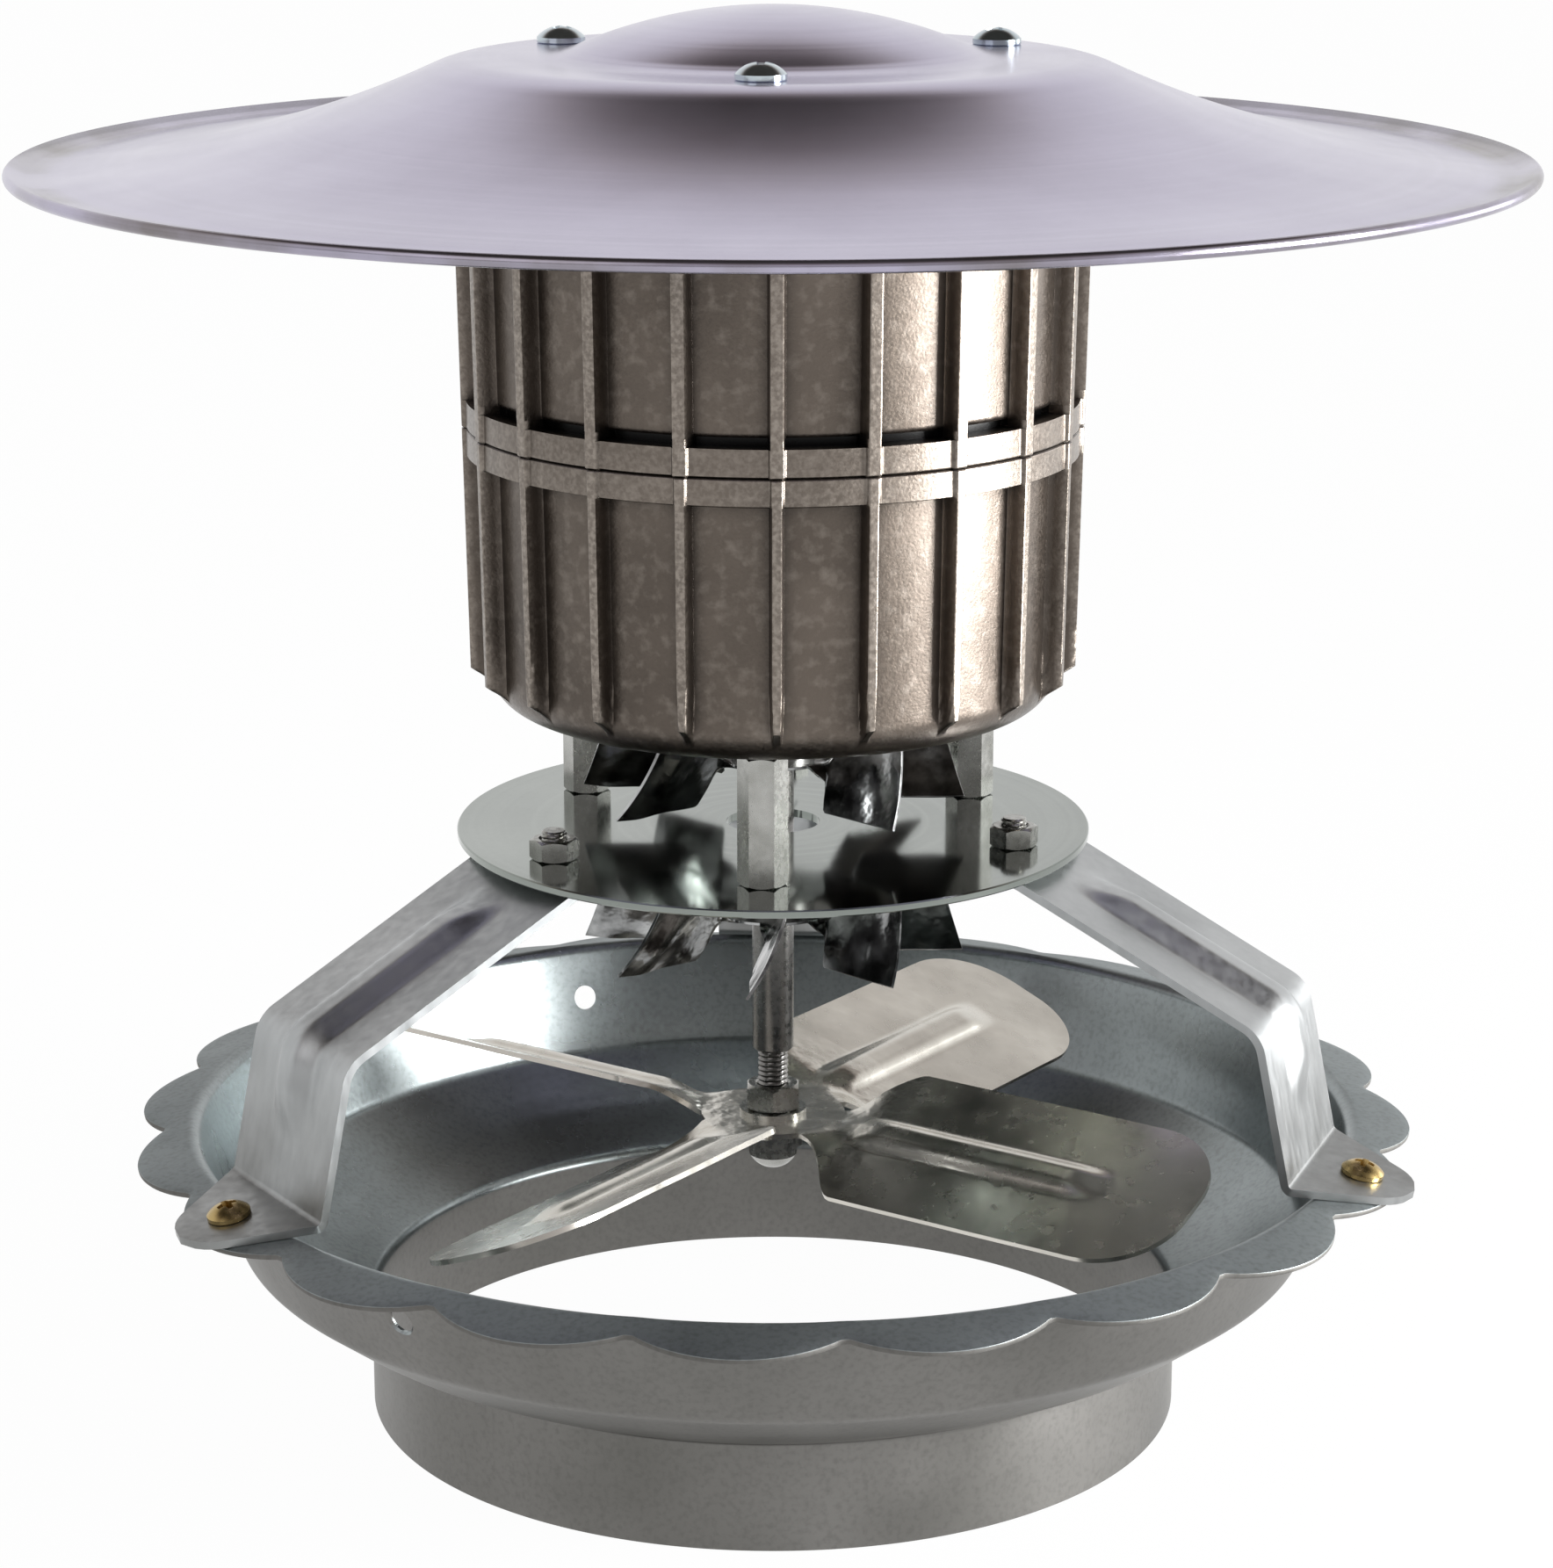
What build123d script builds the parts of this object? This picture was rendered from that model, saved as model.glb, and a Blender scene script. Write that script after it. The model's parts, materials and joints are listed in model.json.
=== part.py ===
from build123d import *
import os
from math import asin, cos, radians, sin, tan

# Chimney draft fan, millimetres. The origin is the centre of the collar's lower edge, +Z is up.

# Sheet thicknesses
BOWL_SHEET = 1.0
LEG_SHEET = 1.5
PLATE_SHEET = 1.5
CAP_SHEET = 0.8
IMPELLER_SHEET = 1.0
FAN_SHEET = 0.6

# Clearances
SCREW_PLAY = 0.1      # round a screw in a plain hole
THREAD_PLAY = 0.05    # round a screw in a tapped hole
BEARING_PLAY = 0.02   # at a bearing's seat and on the shaft
RACE_GAP = 0.3        # between the two races of a bearing
AIR_GAP = 0.5         # between rotor and stator
ROOT_SINK = 1.0       # how far a boss is rooted in its wall
HOLE_CUT = 4.0        # length of a hole's cutter, in sheet thicknesses

# Base bowl
COLLAR_R = 79.0
COLLAR_H = 20.0
COLLAR_BEND = 1.5
BOWL_SLOPE = 25.0     # of the bowl where it leaves the collar
BOWL_KNEE_R = 92.0
BOWL_KNEE_BEND = 40.0
CREASE_OUT = 12.0     # crease beyond the knee
CREASE_RISE = 9.0     # crease above the knee
CREASE_BEND = 5.0
WALL_OUT = 8.2        # lip beyond the crease
WALL_H = 21.4         # lip above the crease
LIP_BEND = 1.6
FLANGE_SLOPE = 11.0
FLANGE_W = 11.4       # from the lip to the tips of the lobes
LOBE_COUNT = 20
LOBE_R = 26.0
FIRST_LOBE = 15.0
WALL_HOLE_R = 2.5
WALL_HOLE_DROP = 9.7  # below the lip
WALL_HOLE_AZIMUTHS = (112.5, 232.5, 352.5)

# Legs
LEG_AZIMUTHS = {"left_leg": 213.0, "right_leg": 339.0, "rear_leg": 87.0}
LEG_W = 35.0
TAB_INNER_R = 40.5
TAB_BEND_R = 54.0
LEG_KNEE_DROP = 25.5  # knee below the heat plate
SHIN_LEAN = 6.0       # knee inside the ankle
ANKLE_IN = 5.7        # ankle inside the bowl's lip
FOOT_SCREW_OUT = 4.8  # foot screw beyond the lip
FOOT_END_R = 10.0
TAB_BEND = 4.0
KNEE_BEND = 6.0
ANKLE_BEND = 2.6
BEAD_W = 12.0
BEAD_H = 2.6
BEAD_START_R = 62.0
BEAD_SHIN_L = 17.5    # how far the bead runs down the shin

# Heat plate and what is bolted to it
PLATE_R = 60.5
PLATE_TOP = 115.5
PLATE_BORE_R = 9.0
LEG_BOLT_PCR = 48.5
STANDOFF_PCR = 43.5
STANDOFF_L = 24.5
STANDOFF_AF = 8.0
STANDOFF_STUD_L = 5.0
SCREW_AZIMUTHS = (267.5, 27.5, 147.5)

# Screws and nuts
M4_R = 2.0
M4_HEAD_R = 4.0
M4_HEAD_H = 2.6
M4_NUT_AF = 7.0
M4_NUT_H = 3.2
M5_R = 2.5
M5_NUT_AF = 8.0
M5_NUT_H = 4.0
M5_HEAD_H = 3.5
HEAD_EDGE = 0.35      # share of a domed head's height that is its straight edge
SCREW_GRIP = 9.0      # length of a short screw in its thread
SCREW_TAIL = 1.5      # length of a screw or bolt past its nut

# Motor housing
LOWER_SHELL_H = 53.0
UPPER_SHELL_H = 67.2
HOUSING_R = 58.2      # over the ribs, at the joint of the two shells
HOUSING_TAPER = 1.05
RIB_COUNT = 21
UPPER_RIB_W = 3.4
LOWER_RIB_W = 2.8
RIB_H = 3.6
FIRST_RIB = 270.7
HOUSING_CORNER = 7.0
TOP_CORNER = 4.5
BAND_H = 5.2
BAND_STEP = 0.8       # depth of the joint's rim below the ribs
SLOT_H = 1.6
FLOOR_T = 7.0
CROWN_T = 6.2
CAVITY_R = 48.5
BOSS_R = 15.0
BOSS_LIP = 1.0
TIE_PCR = 45.5
TIE_BOSS_R = 5.0
TIE_GRIP = 14.0
GROMMET_RISE = 15.0   # above the stator
GROMMET_PANEL = 2     # panels from the one straight behind
GROMMET_R = 4.0
GROMMET_FLANGE_R = 5.6
GROMMET_FLANGE_T = 1.5
GROMMET_BORE_R = 2.6

# Motor inside
STATOR_R = 50.0
STATOR_H = 36.0       # half of it in each shell
ROTOR_R = 25.5
ROTOR_OVERHANG = 2.0
WINDING_IN_R = 30.0
WINDING_OUT_R = 40.0
WINDING_H = 16.0
WINDING_BEND = 4.0
BEARING_R = 11.0
BEARING_H = 7.0
INNER_RACE_R = 6.2

# Shaft, cooling fans and impeller
SHAFT_R = 4.0
SHAFT_STEP_RISE = 14.0  # step above the impeller
THREAD_R = 3.0
SHAFT_TAIL = 8.0      # below the impeller
SHAFT_HOLE_R = 6.0
FAN_R = 36.5
FAN_BLADES = 8
FAN_BLADE_W = 17.0
FAN_BLADE_ANGLE = 65.0
FAN_RAKE = 5.0        # how much shorter the upper edge of a blade is
FAN_HUB_R = 12.0
FAN_NECK_W = 5.0
FAN_NECK_L = 4.0
UPPER_FAN_RISE = 13.5   # above the heat plate
LOWER_FAN_DROP = 17.0   # below it
BUSH_R = 8.0
BUSH_H = 7.0
SPIGOT_R = 5.5
SPIGOT_PROUD = 0.6
IMPELLER_Z = 55.6
IMPELLER_R = 94.0
BLADE_COUNT = 4
FIRST_BLADE = 55.0
BLADE_W = 38.0
BLADE_ANGLE = 22.0
BLADE_ROOT_R = 19.0
BLADE_SHOULDER = 6.0
BLADE_TIP_BEND = 16.0
NECK_W = 16.0
HUB_R = 14.0
BLADE_RIB_R = 7.0
BLADE_RIB_H = 2.0
BLADE_RIB_START_R = 25.0
BLADE_RIB_END_R = 71.0
WASHER_R = 6.5
WASHER_T = 1.0
M6_NUT_AF = 10.0
M6_NUT_H = 5.0
DOME_R = 4.7
DOME_H = 4.5
DOME_FLANGE_R = 6.5
DOME_FLANGE_T = 1.5

# Rain cap, with drops below its flat shoulder
CAP_R = 140.0
CAP_SCREW_PCR = 47.5
CAP_DOME_H = 9.0
CAP_DOME_FOOT_R = 40.0
CAP_SHOULDER_R = 59.0
CAP_SKIRT_MID_R = 90.0
CAP_SKIRT_MID_DROP = 12.0
CAP_CREASE_R = 128.0
CAP_CREASE_DROP = 19.2
CAP_BRIM_DROP = 19.6
CAP_RIM_BEAD = 1.2
CAP_DOME_BEND = 9.0
CAP_SHOULDER_BEND = 9.0
CAP_SCREW_HEAD_R = 4.6
CAP_SCREW_HEAD_H = 3.2
CAP_SCREW_GRIP = 5.0

# Heights and radii that follow from the sizes above
collar_corner = COLLAR_H + COLLAR_BEND * tan(radians((90 - BOWL_SLOPE) / 2))
bowl_knee = (BOWL_KNEE_R, collar_corner + (BOWL_KNEE_R - COLLAR_R) * tan(radians(BOWL_SLOPE)))
crease = (bowl_knee[0] + CREASE_OUT, bowl_knee[1] + CREASE_RISE)
lip = (crease[0] + WALL_OUT, crease[1] + WALL_H)
lobe_reach = lip[0] + FLANGE_W
foot_screw_r = lip[0] + FOOT_SCREW_OUT
ankle_r = lip[0] - ANKLE_IN
plate_bottom = PLATE_TOP - PLATE_SHEET
leg_knee = (ankle_r - SHIN_LEAN, plate_bottom - LEG_KNEE_DROP)
motor_bottom = PLATE_TOP + STANDOFF_L
motor_split = motor_bottom + LOWER_SHELL_H
motor_top = motor_split + UPPER_SHELL_H
stator_bottom = motor_split - STATOR_H / 2
stator_top = motor_split + STATOR_H / 2
grommet_z = stator_top + GROMMET_RISE
shoulder_z = motor_top + CAP_SHEET
upper_fan_z = PLATE_TOP + UPPER_FAN_RISE
lower_fan_z = PLATE_TOP - LOWER_FAN_DROP
shaft_step_z = IMPELLER_Z + SHAFT_STEP_RISE
shaft_end_z = IMPELLER_Z - SHAFT_TAIL
cavity_top = motor_top - CROWN_T
lower_bearing_z = motor_bottom + FLOOR_T - BEARING_H / 2
upper_bearing_z = cavity_top - BEARING_H - BOSS_LIP
flange_rise = tan(radians(FLANGE_SLOPE))
flange_sheet_rise = BOWL_SHEET / cos(radians(FLANGE_SLOPE))
rib_azimuths = [FIRST_RIB + 360 / RIB_COUNT * k for k in range(RIB_COUNT)]
tie_azimuths = [azimuth + 180 / len(SCREW_AZIMUTHS) for azimuth in SCREW_AZIMUTHS]


def at(radius, azimuth, z=0.0):
    """Place on a circle about the axis, turned to face outwards."""
    return Rot(Z=azimuth) * Pos(radius, 0, z)


def copies(part, radius, azimuths):
    return [at(radius, azimuth) * part for azimuth in azimuths]


def cylinder(radius, bottom, top):
    """Upright cylinder on the axis between two heights."""
    return Pos(Z=bottom) * Cylinder(radius, top - bottom, align=(Align.CENTER, Align.CENTER, Align.MIN))


def ring(inner, outer, bottom, top):
    return cylinder(outer, bottom, top) - cylinder(inner, bottom, top)


def hexagon(across_flats, bottom, top):
    """Upright hexagonal bar on the axis between two heights."""
    outline = RegularPolygon(across_flats / 2, 6, major_radius=False)
    return Pos(Z=bottom) * extrude(outline, top - bottom)


def nut(across_flats, screw_r, bottom, top):
    """Hexagonal nut on the axis between two heights."""
    return hexagon(across_flats, bottom, top) - cylinder(screw_r + THREAD_PLAY, bottom, top)


def hole_cutter(screw_r, thickness):
    """Cylinder that cuts a screw's plain hole through a sheet."""
    return Cylinder(screw_r + SCREW_PLAY, HOLE_CUT * thickness)


def section(*corners):
    """Closed face in the XZ plane from corners given as radius and height."""
    return Plane.XZ * make_face(Polyline(*corners, close=True))


def sheet(line, thickness):
    """Closed face in the XZ plane of a sheet that lies on the left of a line."""
    return Plane.XZ * make_face(offset(line, thickness, side=Side.LEFT))


def dome_line(radius, drop, top):
    """Arc from the axis at a height down to a radius, level at the axis."""
    arc_r = (radius**2 + drop**2) / (2 * drop)
    half_turn = asin(radius / arc_r) / 2
    middle = (arc_r * sin(half_turn), top - arc_r * (1 - cos(half_turn)))
    return ThreePointArc((0, top), middle, (radius, top - drop))


def pan_head(radius, height):
    """Domed screw head that sits on the XY plane."""
    edge = height * HEAD_EDGE
    outline = dome_line(radius, height - edge, height)
    outline += Polyline((radius, edge), (radius, 0), (0, 0), (0, height))
    return revolve(Plane.XZ * make_face(outline), Axis.Z)


def flange_top(radius):
    """Height of the flange's upper face."""
    return lip[1] + flange_sheet_rise - (radius - lip[0]) * flange_rise


def foot_place(azimuth):
    """Place of a foot screw: on the flange's upper face, square to it."""
    return Rot(Z=azimuth) * Pos(foot_screw_r, 0, flange_top(foot_screw_r)) * Rot(Y=FLANGE_SLOPE)


def base_bowl():
    flange_end = lobe_reach + LOBE_R
    line = FilletPolyline(
        (COLLAR_R, 0),
        (COLLAR_R, collar_corner),
        bowl_knee,
        crease,
        lip,
        (flange_end, lip[1] - (flange_end - lip[0]) * flange_rise),
        radius=(COLLAR_BEND, BOWL_KNEE_BEND, CREASE_BEND, LIP_BEND),
    )
    bowl = revolve(sheet(line, BOWL_SHEET), Axis.Z)
    outline = Circle(lip[0])
    for k in range(LOBE_COUNT):
        outline += at(lobe_reach - LOBE_R, FIRST_LOBE + 360 / LOBE_COUNT * k) * Circle(LOBE_R)
    bowl &= extrude(outline, lip[1] + LOBE_R)
    for azimuth in WALL_HOLE_AZIMUTHS:
        place = at(lip[0], azimuth, lip[1] - WALL_HOLE_DROP)
        bowl -= place * Rot(Y=90) * Cylinder(WALL_HOLE_R, 2 * WALL_OUT)
    for azimuth in LEG_AZIMUTHS.values():
        bowl -= foot_place(azimuth) * hole_cutter(M4_R, BOWL_SHEET)
    return bowl


def leg():
    """Leg along +X. Its line is the sheet's lower face."""
    tab_z = plate_bottom - LEG_SHEET
    foot_end = foot_screw_r + FOOT_END_R
    slope = (tab_z - leg_knee[1]) / (leg_knee[0] - TAB_BEND_R)
    shin = (ankle_r - leg_knee[0]) / (leg_knee[1] - flange_top(ankle_r))
    line = FilletPolyline(
        (TAB_INNER_R, tab_z),
        (TAB_BEND_R, tab_z),
        leg_knee,
        (ankle_r, flange_top(ankle_r)),
        (foot_end, flange_top(foot_end)),
        radius=(TAB_BEND, KNEE_BEND, ANKLE_BEND),
    )
    body = extrude(sheet(line, LEG_SHEET), LEG_W / 2, both=True)

    strip_l = ankle_r + LEG_SHEET - TAB_INNER_R
    strip = Pos(TAB_INNER_R) * Rectangle(strip_l, LEG_W, align=(Align.MIN, Align.CENTER))
    tongue = Pos(foot_screw_r) * Circle(FOOT_END_R)
    outline = make_hull(strip.edges() + tongue.edges())
    body &= extrude(outline, PLATE_TOP)

    start = (BEAD_START_R, tab_z - (BEAD_START_R - TAB_BEND_R) * slope)
    end = (leg_knee[0] + BEAD_SHIN_L * shin, leg_knee[1] - BEAD_SHIN_L)
    path = Plane.XZ * FilletPolyline(start, leg_knee, end, radius=KNEE_BEND)
    half = BEAD_W / 2
    crown = ThreePointArc((-half, 0), (0, BEAD_H), (half, 0))
    bead = make_face(Line((-half, 0), (half, 0)) + crown)
    across = Plane(origin=path @ 0, x_dir=(0, 1, 0), z_dir=path % 0)
    body += sweep(across * Pos(Y=LEG_SHEET) * bead, path)
    body -= sweep(across * bead, path)

    body -= Pos(LEG_BOLT_PCR, 0, tab_z) * hole_cutter(M5_R, LEG_SHEET)
    body -= foot_place(0) * hole_cutter(M4_R, LEG_SHEET)
    return body


def foot_screw():
    head = Pos(Z=LEG_SHEET) * pan_head(M4_HEAD_R, M4_HEAD_H)
    return head + cylinder(M4_R, -BOWL_SHEET - M4_NUT_H - SCREW_TAIL, LEG_SHEET)


def foot_nut():
    top = -BOWL_SHEET - SCREW_PLAY
    return nut(M4_NUT_AF, M4_R, top - M4_NUT_H, top)


def heat_plate():
    plate = ring(PLATE_BORE_R, PLATE_R, plate_bottom, PLATE_TOP)
    for azimuth in LEG_AZIMUTHS.values():
        plate -= at(LEG_BOLT_PCR, azimuth, plate_bottom) * hole_cutter(M5_R, PLATE_SHEET)
    for azimuth in SCREW_AZIMUTHS:
        plate -= at(STANDOFF_PCR, azimuth, plate_bottom) * hole_cutter(M4_R, PLATE_SHEET)
    return plate


def leg_bolt():
    tab_z = plate_bottom - LEG_SHEET
    head = hexagon(M5_NUT_AF, tab_z - M5_HEAD_H, tab_z)
    return head + cylinder(M5_R, tab_z, PLATE_TOP + M5_NUT_H + SCREW_TAIL)


def leg_nut():
    return nut(M5_NUT_AF, M5_R, PLATE_TOP, PLATE_TOP + M5_NUT_H)


def standoff():
    bar = hexagon(STANDOFF_AF, PLATE_TOP, motor_bottom)
    bar += cylinder(M5_R, motor_bottom, motor_bottom + STANDOFF_STUD_L)
    return bar - cylinder(M4_R + THREAD_PLAY, PLATE_TOP, PLATE_TOP + SCREW_GRIP + SCREW_TAIL)


def standoff_screw():
    head = Pos(Z=plate_bottom) * Rot(X=180) * pan_head(M4_HEAD_R, M4_HEAD_H)
    return head + cylinder(M4_R, plate_bottom, PLATE_TOP + SCREW_GRIP)


def rib_radius(z):
    """Radius over the ribs at a height."""
    return HOUSING_R + (z - motor_split) * tan(radians(HOUSING_TAPER))


def panel_radius(z):
    return rib_radius(z) - RIB_H


def ribs(face, width):
    """The ring of ribs that a face in the XZ plane makes."""
    rib = extrude(face, width / 2, both=True)
    return [Rot(Z=azimuth) * rib for azimuth in rib_azimuths]


def lower_housing():
    floor = motor_bottom + FLOOR_T
    corner_z = motor_bottom + HOUSING_CORNER
    band_z = motor_split - BAND_H
    band_r = rib_radius(motor_split) - BAND_STEP
    bore = STATOR_R + SCREW_PLAY
    flat_r = panel_radius(corner_z) - HOUSING_CORNER
    corner_mid = HOUSING_CORNER * (1 - sin(radians(45)))
    outer = Polyline((0, floor), (0, motor_bottom), (flat_r, motor_bottom))
    outer += ThreePointArc(
        (flat_r, motor_bottom),
        (panel_radius(corner_z) - corner_mid, motor_bottom + corner_mid),
        (panel_radius(corner_z), corner_z),
    )
    outer += Polyline(
        (panel_radius(corner_z), corner_z),
        (panel_radius(band_z), band_z),
        (band_r, band_z),
        (band_r, motor_split),
        (bore, motor_split),
        (bore, stator_bottom),
        (CAVITY_R, stator_bottom),
        (CAVITY_R, floor),
        (0, floor),
    )
    shell = revolve(Plane.XZ * make_face(outer), Axis.Z)
    rib = section(
        (bore + SCREW_PLAY, motor_split),
        (rib_radius(motor_split), motor_split),
        (rib_radius(corner_z), corner_z),
        (flat_r + HOUSING_CORNER * 0.7, motor_bottom + HOUSING_CORNER * 0.35),
        (bore + SCREW_PLAY, corner_z),
    )
    shell = shell.fuse(*ribs(rib, LOWER_RIB_W))
    shell += cylinder(BOSS_R, motor_bottom, lower_bearing_z + BEARING_H + BOSS_LIP)
    shell -= cylinder(BEARING_R + BEARING_PLAY, lower_bearing_z, lower_bearing_z + 2 * BEARING_H)
    shell -= cylinder(SHAFT_HOLE_R, motor_bottom, floor)
    for azimuth in tie_azimuths:
        shell += at(TIE_PCR, azimuth) * cylinder(TIE_BOSS_R, floor - ROOT_SINK, stator_bottom)
    tie_hole = cylinder(M4_R + SCREW_PLAY, motor_bottom, stator_bottom)
    tie_hole += cylinder(M4_HEAD_R + SCREW_PLAY, motor_bottom, motor_bottom + M4_HEAD_H)
    stud_end = motor_bottom + STANDOFF_STUD_L + SCREW_PLAY
    stud_hole = cylinder(M5_R + THREAD_PLAY, motor_bottom, stud_end)
    shell = shell.cut(*copies(tie_hole, TIE_PCR, tie_azimuths))
    return shell.cut(*copies(stud_hole, STANDOFF_PCR, SCREW_AZIMUTHS))


def upper_housing():
    band_z = motor_split + BAND_H
    band_r = rib_radius(motor_split) - BAND_STEP
    bore = STATOR_R + SCREW_PLAY
    corner_z = motor_top - TOP_CORNER
    shell = revolve(
        section(
            (0, motor_top),
            (panel_radius(motor_top) - TOP_CORNER, motor_top),
            (panel_radius(corner_z), corner_z),
            (panel_radius(band_z), band_z),
            (band_r, band_z),
            (band_r, motor_split),
            (bore, motor_split),
            (bore, stator_top),
            (CAVITY_R, stator_top),
            (CAVITY_R, cavity_top),
            (0, cavity_top),
        ),
        Axis.Z,
    )
    shell -= ring(bore - SCREW_PLAY, HOUSING_R + RIB_H, band_z, band_z + SLOT_H)
    rib = section(
        (bore + SCREW_PLAY, motor_split),
        (rib_radius(motor_split), motor_split),
        (rib_radius(corner_z), corner_z),
        (panel_radius(motor_top) - TOP_CORNER, motor_top),
        (bore + SCREW_PLAY, corner_z),
    )
    shell = shell.fuse(*ribs(rib, UPPER_RIB_W))
    shell += cylinder(BOSS_R, upper_bearing_z, motor_top)
    shell -= cylinder(BEARING_R + BEARING_PLAY, upper_bearing_z - BEARING_H, upper_bearing_z + BEARING_H)
    for azimuth in tie_azimuths:
        shell += at(TIE_PCR, azimuth) * cylinder(TIE_BOSS_R, stator_top, cavity_top + ROOT_SINK)
    tie_thread = cylinder(M4_R + THREAD_PLAY, stator_top, stator_top + TIE_GRIP + SCREW_TAIL)
    cap_thread = cylinder(M4_R + THREAD_PLAY, cavity_top, motor_top)
    shell = shell.cut(*copies(tie_thread, TIE_PCR, tie_azimuths))
    shell = shell.cut(*copies(cap_thread, CAP_SCREW_PCR, SCREW_AZIMUTHS))
    shell -= grommet_place() * Cylinder(GROMMET_R, HOUSING_R - CAVITY_R + STATOR_R)
    return shell


def grommet_place():
    """Middle of a panel at the back, on the panel's face, with Z pointing outwards."""
    azimuth = FIRST_RIB + (RIB_COUNT / 2 - GROMMET_PANEL) * 360 / RIB_COUNT
    return at(panel_radius(grommet_z), azimuth, grommet_z) * Rot(Y=90)


def cable_grommet():
    wall = panel_radius(grommet_z) - CAVITY_R
    body = cylinder(GROMMET_R - THREAD_PLAY, -wall, GROMMET_FLANGE_T)
    body += cylinder(GROMMET_FLANGE_R, 2 * THREAD_PLAY, GROMMET_FLANGE_T)
    return grommet_place() * (body - cylinder(GROMMET_BORE_R, -wall, GROMMET_FLANGE_T))


def housing_screw():
    head = Pos(Z=motor_bottom + M4_HEAD_H) * Rot(X=180) * pan_head(M4_HEAD_R, M4_HEAD_H)
    return head + cylinder(M4_R, motor_bottom + M4_HEAD_H, stator_top + TIE_GRIP)


def stator_core():
    core = ring(ROTOR_R + AIR_GAP, STATOR_R, stator_bottom, stator_top)
    for azimuth in tie_azimuths:
        core -= at(TIE_PCR, azimuth) * cylinder(M4_R + SCREW_PLAY, stator_bottom, stator_top)
    return core


def winding(core_z, direction):
    """Winding head on an end of the core, upwards for direction 1 and downwards for -1."""
    end_z = core_z + direction * WINDING_H
    coil = ring(WINDING_IN_R, WINDING_OUT_R, min(core_z, end_z), max(core_z, end_z))
    edges = coil.edges().filter_by(GeomType.CIRCLE)
    return fillet([edge for edge in edges if abs(edge.center().Z - core_z) > WINDING_H / 2], WINDING_BEND)


def bearing_outer(bottom):
    return ring(INNER_RACE_R + RACE_GAP, BEARING_R, bottom, bottom + BEARING_H)


def bearing_inner(bottom):
    return ring(SHAFT_R + BEARING_PLAY, INNER_RACE_R, bottom, bottom + BEARING_H)


def motor_shaft():
    shaft = cylinder(SHAFT_R, shaft_step_z, upper_bearing_z + BEARING_H)
    return shaft + cylinder(THREAD_R, shaft_end_z, shaft_step_z)


def rotor_core():
    bottom = stator_bottom - ROTOR_OVERHANG
    return ring(SHAFT_R + BEARING_PLAY, ROTOR_R, bottom, stator_top + ROTOR_OVERHANG)


def bladed_disc(blade, count, hub_r, root_r, neck_w, thickness, angle):
    """Disc at height 0 with flat arms, twisted necks and pitched blades, all one sheet.

    The blade is a flat outline along +X whose root is neck_w wide at root_r.
    """
    arm_end = Pos(hub_r + thickness) * Rot(Y=90) * Rectangle(thickness, neck_w)
    blade_end = Pos(root_r) * Rot(X=angle) * Rot(Y=90) * Rectangle(thickness, neck_w)
    neck = loft([arm_end, blade_end])
    arm = Rectangle(hub_r + thickness, neck_w, align=(Align.MIN, Align.CENTER))
    disc = Circle(hub_r)
    for k in range(count):
        disc += Rot(Z=360 / count * k) * arm
    whole = extrude(disc, thickness / 2, both=True)
    vane = neck + Rot(X=angle) * blade
    return whole.fuse(*[Rot(Z=360 / count * k) * vane for k in range(count)])


def fan_bush(fan_z):
    bush = cylinder(BUSH_R, fan_z, fan_z + BUSH_H)
    bush += cylinder(SPIGOT_R, fan_z - FAN_SHEET - SPIGOT_PROUD, fan_z)
    bush -= cylinder(SHAFT_R + BEARING_PLAY, fan_z - BUSH_H, fan_z + BUSH_H)
    return bush - Pos(0, 0, fan_z + BUSH_H / 2) * Rot(Y=90) * Cylinder(
        M4_R + THREAD_PLAY, BUSH_R, align=(Align.CENTER, Align.CENTER, Align.MIN)
    )


def set_screw(fan_z):
    start = SHAFT_R + BEARING_PLAY
    return Pos(start, 0, fan_z + BUSH_H / 2) * Rot(Y=90) * cylinder(M4_R, 0, BUSH_R - start)


def cooling_fan(fan_z):
    """Fan with its hub's upper face at a height. Its blades are longer at the lower edge."""
    root = FAN_HUB_R + FAN_NECK_L
    half = FAN_BLADE_W / 2
    outline = Polyline(
        (root, -FAN_NECK_W / 2),
        (root + FAN_SHEET, -half),
        (FAN_R, -half),
        (FAN_R - FAN_RAKE, half),
        (root + FAN_SHEET, half),
        (root, FAN_NECK_W / 2),
        close=True,
    )
    blade = extrude(make_face(outline), FAN_SHEET / 2, both=True)
    fan = bladed_disc(blade, FAN_BLADES, FAN_HUB_R, root, FAN_NECK_W, FAN_SHEET, FAN_BLADE_ANGLE)
    fan -= cylinder(SPIGOT_R + BEARING_PLAY, -FAN_SHEET, FAN_SHEET)
    return Pos(Z=fan_z - FAN_SHEET / 2) * fan


def capsule(radius, start, end, z):
    """Bar along +X with ball ends."""
    bar = Pos((start + end) / 2, 0, z) * Rot(Y=90) * Cylinder(radius, end - start)
    return bar + Pos(start, 0, z) * Sphere(radius) + Pos(end, 0, z) * Sphere(radius)


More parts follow.
